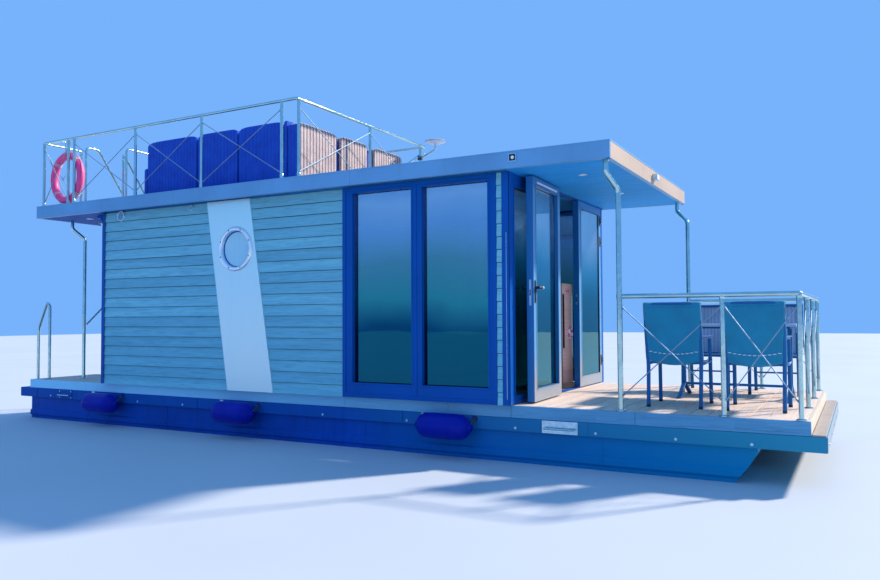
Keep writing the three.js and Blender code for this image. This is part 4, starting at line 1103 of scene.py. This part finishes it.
def rattan_block(piece, x0, x1, y0, y1, z1, look, crown, roll):
    """A ribbed block whose top edge rolls over and whose ends drop by the crown; the valleys
    between its ribs take the look two places on, a darker copy that paints shade in them."""
    outline = scalloped(x0, x1, y0, y1)
    cx, cy, wide, long = (x0 + x1) / 2, (y0 + y1) / 2, x1 - x0, y1 - y0
    levels = [(ROOF["z1"] + 0.004, 0.0), (z1 - 0.2, 0.0), (z1 - roll, 0.0),
              (z1 - roll * 0.6, roll * 0.1), (z1 - roll * 0.25, roll * 0.38), (z1, roll)]
    rows = []
    for level, (z, inset) in enumerate(levels):
        row = []
        for x, y in outline:
            share = 2 * ((x - cx) / wide if wide > long else (y - cy) / long)
            lift = crown * (1 - abs(share) ** 9) if level > 1 else 0.0
            row.append(piece.bm.verts.new((cx + (x - cx) * (wide - 2 * inset) / wide,
                                           cy + (y - cy) * (long - 2 * inset) / long, z + lift)))
        rows.append(row)
    piece.skin(rows, lambda _, i: look + (2 if i % 4 in (0, 3) else 0))
    piece.face(rows[0][::-1], look)
    piece.face(rows[-1], look)


def pillow(name, size, look, seed):
    """A boxed cushion of the given size about its own middle: crowned top, pulled-in sides, piped seams."""
    w, l, h = (s / 2 for s in size)
    n, puff, wrinkle, seam = 18, 0.022, 0.002, 0.012
    piece = Piece(name, look, PIPING, slot="white")
    rnd = random.Random(seed)
    waves = [(rnd.uniform(4, 9), rnd.uniform(4, 9), rnd.uniform(0, 6.28)) for _ in range(5)]

    def top(u, v, sign):
        crown = (1 - abs(u) ** 2.6) * (1 - abs(v) ** 2.6)
        pull = 1 - 0.045 * abs(v) ** 4 * (1 - abs(u))
        x = u * w * (1 - 0.02 * (1 - v * v))
        y = v * l * (1 - 0.02 * (1 - u * u))
        dent = 0.35 * puff * math.exp(-((u * 2.2) ** 2 + (v * 2.2) ** 2))
        ripple = sum(wrinkle * 0.4 * math.sin(a * u + b * v + c) for a, b, c in waves) * (abs(u * v) + 0.3)
        return Vector((x * pull, y, sign * (h - seam + puff * crown - dent) + ripple))

    grid = {(sign, i, j): piece.bm.verts.new(top(-1 + 2 * i / n, -1 + 2 * j / n, sign))
            for sign in (1, -1) for i in range(n + 1) for j in range(n + 1)}
    for sign in (1, -1):
        for i in range(n):
            for j in range(n):
                corners = [grid[sign, i + di, j + dj] for di, dj in ((0, 0), (1, 0), (1, 1), (0, 1))]
                piece.face(corners[::sign])
    rim = [(i, 0) for i in range(n)] + [(n, j) for j in range(n)]
    rim += [(n - i, n - j) for i, j in rim]
    rows = [[grid[1, i, j] for i, j in rim]]
    for level, out in ((0.55, 0.01), (0.0, 0.014), (-0.55, 0.01)):
        row = []
        for i, j in rim:
            base = grid[1, i, j].co
            x, y, _ = Vector((base.x / w, base.y / l, 0))
            way = (math.copysign(out, x), 0, 0) if abs(x) > abs(y) else (0, math.copysign(out, y), 0)
            row.append(piece.bm.verts.new(Vector((base.x, base.y, level * (h - seam))) + Vector(way)))
        rows.append(row)
    rows.append([grid[-1, i, j] for i, j in rim])
    piece.skin(rows, lambda *_: 0)
    for edge in (rows[0], rows[-1]):
        piece.pipe([vert.co.copy() for vert in edge + edge[:1]], 0.0045, sides=8, look=1)
    return piece


def place(piece, at, turn=None, fill=0.7):
    obj = piece.move(Matrix.Translation(at) @ (turn or Matrix.Identity(4))).done(angle=60)


def lounge():
    """Starboard run, corner and bow run; the backs stand in separate ribbed modules."""
    body = Piece("lounge_body", RATTAN_SHADED, RATTAN_SUNLIT, VALLEY_SHADE_ON_SHADED, VALLEY_SHADE_ON_SUNLIT, BLACK, slot="rattan")
    # The look column picks 1, the sunlit copy, for the bow-run backs and 0, the shaded copy, for the rest
    for row in ((-2.806, -1.892, -1.348, -1.215, 4.124, 0, 0.03, 0.03),
                (-1.876, -1.19, -1.348, -1.215, 4.124, 0, 0.03, 0.03),
                (-1.174, -0.474, -1.348, -1.215, 4.124, 0, 0.03, 0.03),
                (-0.458, -0.402, -1.344, -1.215, 4.15, 0, 0.0, 0.02),
                (-2.878, -2.812, -1.34, -0.562, 3.812, 0, 0.0, 0.03),
                (-2.806, -1.892, -1.2, -0.562, SEAT_TOP, 0, 0.0, 0.012),
                (-1.876, -1.05, -1.2, -0.562, SEAT_TOP, 0, 0.0, 0.012),
                (-0.394, -0.244, -1.348, -0.57, 4.098, 1, 0.03, 0.03),
                (-0.394, -0.244, -0.478, 0.118, 4.098, 1, 0.03, 0.03),
                (-0.394, -0.244, 0.292, 0.996, 4.098, 1, 0.03, 0.03),
                (-0.39, -0.285, -0.56, -0.488, 4.06, 0, 0.0, 0.02),
                (-0.39, -0.285, 0.128, 0.282, 4.06, 0, 0.0, 0.02),
                (-1.036, -0.405, -1.345, -0.575, SEAT_TOP, 0, 0.0, 0.012),
                (-1.036, -0.405, -0.565, 0.21, SEAT_TOP, 0, 0.0, 0.012),
                (-1.036, -0.405, 0.222, 0.996, SEAT_TOP, 0, 0.0, 0.012)):
        rattan_block(body, *row)
    # The side towards the rail takes the shaded copies all over, a painted shade
    bmesh.ops.recalc_face_normals(body.bm, faces=body.bm.faces)
    body.bm.normal_update()
    for face in body.bm.faces:
        if face.normal.y < -0.3 and face.calc_center_median().y < -1.33:
            face.material_index -= face.material_index % 2
    for at in ((-2.74, -1.28), (-1.96, -1.28), (-1.81, -0.62), (-1.12, -0.62), (-2.74, -0.62), (-0.98, 0.93),
               (-0.3, 0.93), (-0.98, -0.5), (-0.3, -0.5), (-0.98, 0.15), (-0.3, 0.15)):
        body.disc((*at, ROOF["z1"]), UP, 0.02, 0, 0.006, 14, 4)
    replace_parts(body.done(angle=50), "lounge_starboard", "lounge_bow")

    back, side = (Matrix.Rotation(math.radians(78), 4, axis) for axis in "XY")
    seats = ((0.895, 0.59, -2.35, -0.867), (0.81, 0.59, -1.466, -0.867), (0.59, 0.59, -0.722, -0.867),
             (0.59, 0.755, -0.722, -0.172), (0.59, 0.755, -0.722, 0.605))
    for k, (w, l, x, y) in enumerate(seats):
        place(pillow(f"seat_cushion_{k}", (w, l, 0.092), CUSHION, 11 + k), (x, y, SEAT_TOP + 0.05))
    backs = ((0.88, 0.3, -2.35, -1.148, back, 31), (0.79, 0.3, -1.466, -1.148, back, 32),
             (0.44, 0.3, -0.8, -1.148, back, 33), (0.3, 0.745, -0.47, -0.172, side, 41),
             (0.3, 0.745, -0.47, 0.605, side, 42))
    for k, (w, l, x, y, turn, seed) in enumerate(backs):
        place(pillow(f"back_cushion_{k}", (w, l, 0.085), CUSHION, seed), (x, y, SEAT_TOP + 0.232), turn)


# Bow terrace furniture

def sling(name, x, across, line, sag, dip, face):
    """Cloth stretched along a side line of (y, z) points: it sags between its edges, its last
    edge dips, and its outer side faces the given way."""
    piece = Piece(name, SLING, SLING_INNER_PAINTED_LIGHT, slot="dark")
    path = [Vector((0, y, z)) for y, z in line]
    run = [0.0]
    for p, q in zip(path, path[1:]):
        run.append(run[-1] + (q - p).length)
    rows, columns = 26, 24
    verts = []
    for r in range(rows + 1):
        along = r / rows * run[-1]
        i = next(k for k in range(len(path) - 1) if along <= run[k + 1] + 1e-9)
        point = path[i].lerp(path[i + 1], (along - run[i]) / (run[i + 1] - run[i]))
        for c in range(columns + 1):
            u = -1 + 2 * c / columns
            bow = 1 - u * u
            wrap = 0.018 * max(0.0, (abs(u) - 0.9) / 0.1) ** 2 if sag[0] else 0.0
            verts.append((x + u * SLING_WIDTH / 2, across(point.y + bow * sag[0] + wrap),
                          point.z - bow * sag[1] - bow * dip * (r / rows) ** 3))
    step = columns + 1
    piece.faces(verts, [(r * step + c, r * step + c + 1, (r + 1) * step + c + 1, (r + 1) * step + c)
                        for r in range(rows) for c in range(columns)])
    obj = piece.done(angle=60)
    if sum(polygon.normal.dot(face) for polygon in obj.data.polygons) < 0:
        obj.data.flip_normals()
    # The inner side takes the second look, painted lighter as light through the cloth
    thick = obj.modifiers.new("thickness", "SOLIDIFY")
    thick.thickness, thick.offset, thick.material_offset = 0.002, 0.0, 1
    return obj, (SLING_WIDTH, round(run[-1], 3))


def chair(name, x, side, shift):
    """A folding armchair that faces the middle; shift moves it across the boat."""
    a, b = x - 0.245, x + 0.245
    piece = Piece(f"{name}_frame", CHAIR, BLACK, ARMREST, slot="dark")

    def across(y):
        return side * -y + shift

    def bar(points, bend, r=0.0185):
        piece.pipe([(px, across(py), pz) for px, py, pz in points], r, bend, 14)

    for at, way in ((a, -1), (b, 1)):
        bar([(at - way * 0.004, -0.9875, 0.922), (at, -0.952, 1.345), (at + way * 0.004, -1.0, 1.6),
             (at, -1.043, 1.89)], 0.1)
        bar([(at + way * 0.002, -0.452, 0.922), (at, -0.472, 1.4), (at, -0.478, 1.572), (at, -0.53, 1.582),
             (at, -0.985, 1.584)], 0.05)
        arm = [(-0.452, 1.586), (-0.458, 1.597), (-0.94, 1.602), (-0.988, 1.594), (-0.988, 1.586)]
        piece.prism([(across(y), z) for y, z in arm], on_x, at - 0.026, at + 0.026, 2)
        for foot, lean in ((-0.9875, -0.004), (-0.452, 0.002)):
            tip = (at + way * lean, across(foot), 0.9202)
            piece.stud(tip, UP, [(0.0195, 0), (0.0195, 0.022)], 0.024, 14, 1)
        bar([(at, -0.475, 1.338), (at, -0.96, 1.328)], 0, 0.012)
        rivet = (at - way * 0.017, across(-0.7), 1.333)
        piece.stud(rivet, (way, 0, 0), [(0.01, 0), (0.008, 0.004)], 0.005, 12, 2)
    crossbars = [(-0.47, 1.336, 0.012), (-0.95, 1.344, 0.012), (-0.968, 1.13, 0.01)]
    for y, z, r in crossbars if side > 0 else crossbars[:2]:
        bar([(a, y, z), (b, y, z)], 0, r)
    bar([(a, -1.043, 1.889), (a + 0.085, -1.05, 1.902), (b - 0.085, -1.05, 1.902), (b, -1.043, 1.889)],
        0.05, 0.0145)
    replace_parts(piece.done(angle=50), name)

    back = [(-1.05, 1.9185), (-1.0658, 1.904), (-1.062, 1.84), (-1.03, 1.66), (-0.985, 1.44), (-0.972, 1.378)]
    seat = [(-0.94, 1.358), (-0.86, 1.338), (-0.72, 1.33), (-0.58, 1.338), (-0.462, 1.352)]
    for part, line, sag, dip, face in (("back", back, (0.01, 0.0), 0.058, Vector((0, side, 0))),
                                       ("seat", seat, (0.0, 0.018), 0.0, Vector(DOWN))):
        obj, flat = sling(f"{name}_{part}_sling", x, across, line, sag, dip, face)

    stitches = Piece(f"{name}_stitches", CHAIR, TAPE, slot="dark")
    for k in range(-5, 6):
        u = k / 5.6
        bow, at = 1 - u * u, x + u * 0.235
        y, z = -1.0 + bow * 0.01, 1.452 - bow * 0.03
        stitches.boxes((at - 0.014, at + 0.014, across(y), across(y - 0.0035), z, z + 0.007, 1),
                       (at - 0.01, at + 0.01, across(-1.0605), across(-1.0625), 1.868, 1.872))
    stitches.done()


def chairs():
    for label, x in (("aft", 3.99), ("bow", 4.705)):
        chair(f"chair_{label}_starboard", x, -1, 0.0)
        chair(f"chair_{label}_port", x, 1, 0.2)


def table():
    """Slatted top in a thin frame on two forked trestles with a low stretcher."""
    piece = Piece("table_body", TABLE, CHAIR, TABLE_EDGE, slot="dark")
    x0, x1, y0, y1, top = 3.76, 5.0, -0.23, 0.63, 1.7
    middle, under, lip = (y0 + y1) / 2, top - 0.024, top - 0.0005
    for k in range(9):
        low, high = (0.014 if k == 0 else 0.002), (0.0816 if k == 8 else 0.0936)
        start = y0 + k * SLAT_PITCH
        piece.box(x0 + 0.022, x1 - 0.022, start + low, start + high, under, top)
    piece.boxes((x0, x1, y0, y0 + 0.012, under, lip, 2), (x0, x1, y1 - 0.012, y1, under, lip, 2),
                (x0, x0 + 0.02, y0 + 0.012, y1 - 0.012, under, lip, 2),
                (x1 - 0.02, x1, y0 + 0.012, y1 - 0.012, under, lip, 2))
    for y in (y0 + 0.2, y1 - 0.218):
        piece.box(x0 + 0.06, x1 - 0.06, y, y + 0.018, top - 0.046, top - 0.0245, 1)
    for x in (x0 + 0.06, x0 + 0.611, x1 - 0.078):
        piece.box(x, x + 0.018, y0 + 0.06, y1 - 0.06, top - 0.046, top - 0.0245, 1)
    for x in (x0 + 0.09, x1 - 0.09):
        for way in (1, -1):
            leg = [(middle + way * reach, z)
                   for reach, z in ((0.33, 0.9205), (0.285, 0.9205), (-0.018, 1.062), (0.018, 1.074))]
            piece.prism(leg, on_x, x - 0.02 + way * 0.0002, x + 0.02 + way * 0.0002, 1)
            piece.box(x - 0.022, x + 0.022, middle + way * 0.28, middle + way * 0.332, 0.9203, 0.932, 1)
        piece.box(x - 0.0195, x + 0.0195, middle - 0.0195, middle + 0.0195, 1.05, top - 0.031, 1)
    piece.box(x0 + 0.09, x1 - 0.09, middle - 0.0145, middle + 0.0145, 1.046, 1.071, 1)
    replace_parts(piece.done(0.002, 2), "table")


# Inside: fitted partition, kitchen counter, sofa, helm console and wheel

def interior():
    parts = Piece("interior_fittings", LACQUER, WOOD, SATIN, BLACK, slot="wood")
    floor = 0.9205
    parts.pairs((-1.4, -1.34, 0.38, 1.438, floor, 3.218), (-1.412, -1.328, 0.375, 0.4, floor, 2.965, 1))
    parts.boxes((-1.4, -1.34, -0.38, 0.38, 2.95, 3.218), (-1.412, -1.328, -0.4, 0.4, 2.94, 2.965, 1),
                (-1.338, 0.3, 0.87, 1.438, 1.0, 1.788), (-1.338, 0.28, 0.9, 1.438, floor, 1.0, 3),
                (-1.34, 0.305, 0.848, 1.438, 1.792, 1.83, 1),
                (-1.339, -0.702, -1.438, -0.802, floor, 1.28, 1),
                (-1.339, -1.2, -1.438, -0.802, 1.28, 1.498, 1),
                (-1.3385, -1.325, -1.212, -0.648, 1.978, 2.492, 3))
    for k in range(4):
        a = -1.335 + k * 0.408
        parts.boxes((a + 0.003, a + 0.405, 0.8515, 0.87, 1.005, 1.56),
                    (a + 0.003, a + 0.405, 0.8515, 0.87, 1.566, 1.786))
        parts.pipe([(a + 0.12, 0.84, 1.64), (a + 0.29, 0.84, 1.64)], 0.005, sides=10, look=2)
        for x in (a + 0.125, a + 0.285):
            parts.pipe([(x, 0.852, 1.64), (x, 0.84, 1.64)], 0.004, sides=8, look=2)
    parts.strips(on_x, -1.24, -0.62, 1.95, 2.52, 0.03, -1.339, -1.32, 2)
    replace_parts(parts.done(0.002, 2), "interior")
    place(pillow("sofa_cushion", (0.47, 0.61, 0.11), SOFA, 41), (-0.945, -1.12, 1.34))


def helm():
    desk = Piece("helm_console_body", WOOD, BLACK, STEEL, WHITE, RING_RED, slot="wood")
    desk.prism([(1.74, 0.9205), (2.16, 0.9205), (2.16, 2.22), (2.09, 2.22), (1.8, 1.96), (1.74, 1.96)],
               on_y, 1.04, 1.438)
    rise, run = 0.26, 0.29
    up = Vector((-rise, 0, run)).normalized()
    for t, y, r in ((0.3, 1.14, 0.036), (0.3, 1.24, 0.036), (0.3, 1.34, 0.036), (0.72, 1.24, 0.05)):
        at = Vector((1.8 + run * t, y, 1.96 + rise * t))
        desk.stud(at, up, [(r, 0), (r, 0.004), (r * 0.86, 0.006), (r * 0.8, 0.003)], 0.003, 28, 2)
        desk.disc(at, up, r * 0.8, 0.002, 0.0035, 28, 1)
    desk.boxes((1.7365, 1.741, 1.06, 1.418, 0.98, 1.6), (1.95, 1.99, 1.028, 1.041, 1.72, 1.92, 1),
               (2.1595, 2.172, 1.052, 1.088, 1.38, 2.08, 1), (2.1595, 2.166, 1.405, 1.425, 1.25, 2.07, 3))
    desk.pipe([(1.97, 1.03, 1.8), (1.97, 0.985, 1.8), (1.985, 0.975, 1.88)], 0.009, 0.02, 12, 2)
    desk.pipe([(2.02, 1.032, 1.95), (2.02, 1.026, 1.7), (2.0, 1.026, 1.45)], 0.009, 0.05, 10, 1)
    knob = [(0, -0.012), (0.016, -0.004), (0.018, 0.01), (0.01, 0.022), (0, 0.024)]
    desk.lathe((1.985, 0.975, 1.885), UP, knob, 16, 1)
    dial = Vector((2.168, 1.33, 1.57))
    for k in range(8):
        arc = [dial + Vector((0, 0.068 * math.cos(t), 0.068 * math.sin(t)))
               for t in (math.radians(45 * k + 9 * n) for n in range(6))]
        desk.pipe(arc, 0.0105, sides=10, look=3 if k % 2 else 4)
    desk.stud(dial - Vector((0.008, 0, 0)), (1, 0, 0), [(0.022, 0), (0.022, 0.012)], 0.015, 20, 3)
    for y in (1.2, 1.27):
        desk.stud((2.1595, y, 2.12), (1, 0, 0), [(0.016, 0), (0.014, 0.012)], 0.014, 18, 4)
    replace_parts(desk.done(0.002, 2), "helm_console")

    wheel = Piece("steering_wheel_body", BLACK, STEEL, slot="dark", body="wheel")
    hub = Vector((1.69, 1.235, 1.8))
    wheel.ring(hub, (1, 0, 0), 0.128, 0.0118, 56, 14)
    for angle in (math.radians(90), math.radians(210), math.radians(330)):
        rim = hub + Vector((0, math.cos(angle), math.sin(angle))) * 0.122
        wheel.pipe([hub, rim], (0.009, 0.007), sides=12, look=1)
    wheel.lathe(hub - Vector((0.014, 0, 0)), (1, 0, 0), [
        (0, -0.002), (0.02, 0), (0.026, 0.006), (0.026, 0.058), (0.02, 0.0635), (0, 0.0635)], 28)
    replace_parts(wheel.done(), "steering_wheel")


# Outboard: rounded cowl with a split line, clamp, leg, fin plate, gearcase and skeg

def outboard():
    cowl = Piece("outboard_cowl", COWL, GASKET, MOTOR_LEG, slot="dark", body="outboard")

    def rounded(t):
        return math.copysign(abs(t) ** 0.62, t)

    rows = [[cowl.bm.verts.new((-5.065 + half_x * rounded(math.cos(t)), half_y * rounded(math.sin(t)), z))
             for t in spin(40)]
            for z, half_x, half_y in (
                (0.69, 0.15, 0.118), (0.7, 0.162, 0.132), (0.742, 0.164, 0.136), (0.744, 0.16, 0.132),
                (0.75, 0.16, 0.132), (0.752, 0.164, 0.136), (0.82, 0.162, 0.133), (0.862, 0.152, 0.122),
                (0.888, 0.132, 0.102), (0.902, 0.098, 0.07), (0.905, 0.05, 0.03))]
    cowl.skin(rows, lambda row, _: 1 if row in (2, 3, 4) else 0)
    cowl.face(rows[0][::-1])
    cowl.face(rows[-1])
    cowl.disc((-4.87, 0, 0.5055), UP, 0.0275, 0, 0.134, 28, 2)
    cowl.box(-4.95, -4.88, -0.02, 0.02, 0.52, 0.625, 2)
    for outline, plane, near, far in (
            ([(-5.03, 0.691), (-5.028, 0.4), (-5.034, 0.2), (-4.945, 0.2), (-4.938, 0.4), (-4.942, 0.691)],
             on_y, -0.036, 0.036),
            ([(-5.198, -0.03), (-5.19, -0.06), (-5.15, -0.074), (-4.99, -0.066), (-4.935, -0.03),
              (-4.935, 0.03), (-4.99, 0.066), (-5.15, 0.074), (-5.19, 0.06), (-5.198, 0.03)],
             on_z, 0.306, 0.314),
            ([(-5.098, 0.15), (-5.09, 0.04), (-5.07, 0.034), (-5.03, 0.06), (-5.0, 0.15)],
             on_y, -0.005, 0.005)):
        cowl.prism(outline, plane, near, far, 2)
    cowl.lathe((-5.07, 0, 0.17), (1, 0, 0), [
        (0, -0.13), (0.028, -0.13), (0.036, -0.105), (0.04, -0.08), (0.04, 0.05), (0.034, 0.085),
        (0.022, 0.108), (0.01, 0.116), (0, 0.118)], 32, 2)
    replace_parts(cowl.done(0.003, 2), "outboard")
    dress(SATIN, "propeller", bevel=0.002)


def stage():
    floor = Piece("studio_floor", stage_look(), slot="white")
    floor.faces([(x, y, WATERLINE) for x, y in ((-60, -60), (60, -60), (60, 60), (-60, 60))], [(0, 1, 2, 3)])
    obj = floor.mesh()


def light(name, kind, colour, energy, **settings):
    lamp = bpy.data.lights.new(name, kind)
    lamp.color, lamp.energy = colour, energy
    for key, value in settings.items():
        setattr(lamp, key, value)
    obj = bpy.data.objects.new(name, lamp)
    bpy.context.scene.collection.objects.link(obj)
    return obj


def light_and_camera():
    scene = bpy.context.scene
    scene.world = bpy.data.worlds.new("studio")
    scene.world.use_nodes = True
    sky = scene.world.node_tree.nodes["Background"].inputs
    sky["Color"].default_value = (0.19, 0.46, 1.0, 1)
    sky["Strength"].default_value = 0.97
    key = light("key", "SUN", (1.0, 0.93, 0.84), 6.0, angle=math.radians(4))
    azimuth, height = math.radians(38), math.radians(33)
    toward = Vector((math.sin(azimuth), math.cos(azimuth), math.tan(height)))
    key.rotation_euler = toward.to_track_quat("Z", "Y").to_euler()

    # A weak lamp on the inner face of the bow wall keeps the helm console from drowning in shade
    lamp = light("helm", "AREA", (0.42, 0.64, 1.0), 3.2, shape="RECTANGLE", size=1.4, size_y=0.6)
    lamp.location, lamp.rotation_euler = (2.44, 1.0, 1.7), (0, math.radians(90), 0)
    lamp.visible_camera = lamp.visible_glossy = lamp.visible_transmission = False

    yaw, pitch, roll = (math.radians(v) for v in (28.785, 2.043, -0.298))
    forward = Vector((-math.sin(yaw) * math.cos(pitch), math.cos(yaw) * math.cos(pitch), math.sin(pitch)))
    level = Vector((math.cos(yaw), math.sin(yaw), 0))
    rise = level.cross(forward)
    right = level * math.cos(roll) + rise * math.sin(roll)
    up = rise * math.cos(roll) - level * math.sin(roll)
    camera = bpy.data.objects.new("camera", bpy.data.cameras.new("camera"))
    camera.data.lens, camera.data.sensor_width, camera.data.clip_end = 31.43, 36, 200
    turned = Matrix((right, up, -forward)).transposed().to_4x4()
    camera.matrix_world = Matrix.Translation((5.566, -8.444, 1.785)) @ turned
    scene.collection.objects.link(camera)
    scene.camera = camera
    scene.view_settings.view_transform = "Standard"


light_and_camera()
stage()
for make in (hulls, lower_frame, deck, cleats, fenders, walls, panels, windows, bow_wall, doors, roof,
             poles, bow_rails, roof_rails, braces, stair, ladder, life_ring, antenna, lounge, chairs, table,
             interior, helm, outboard):
    make()
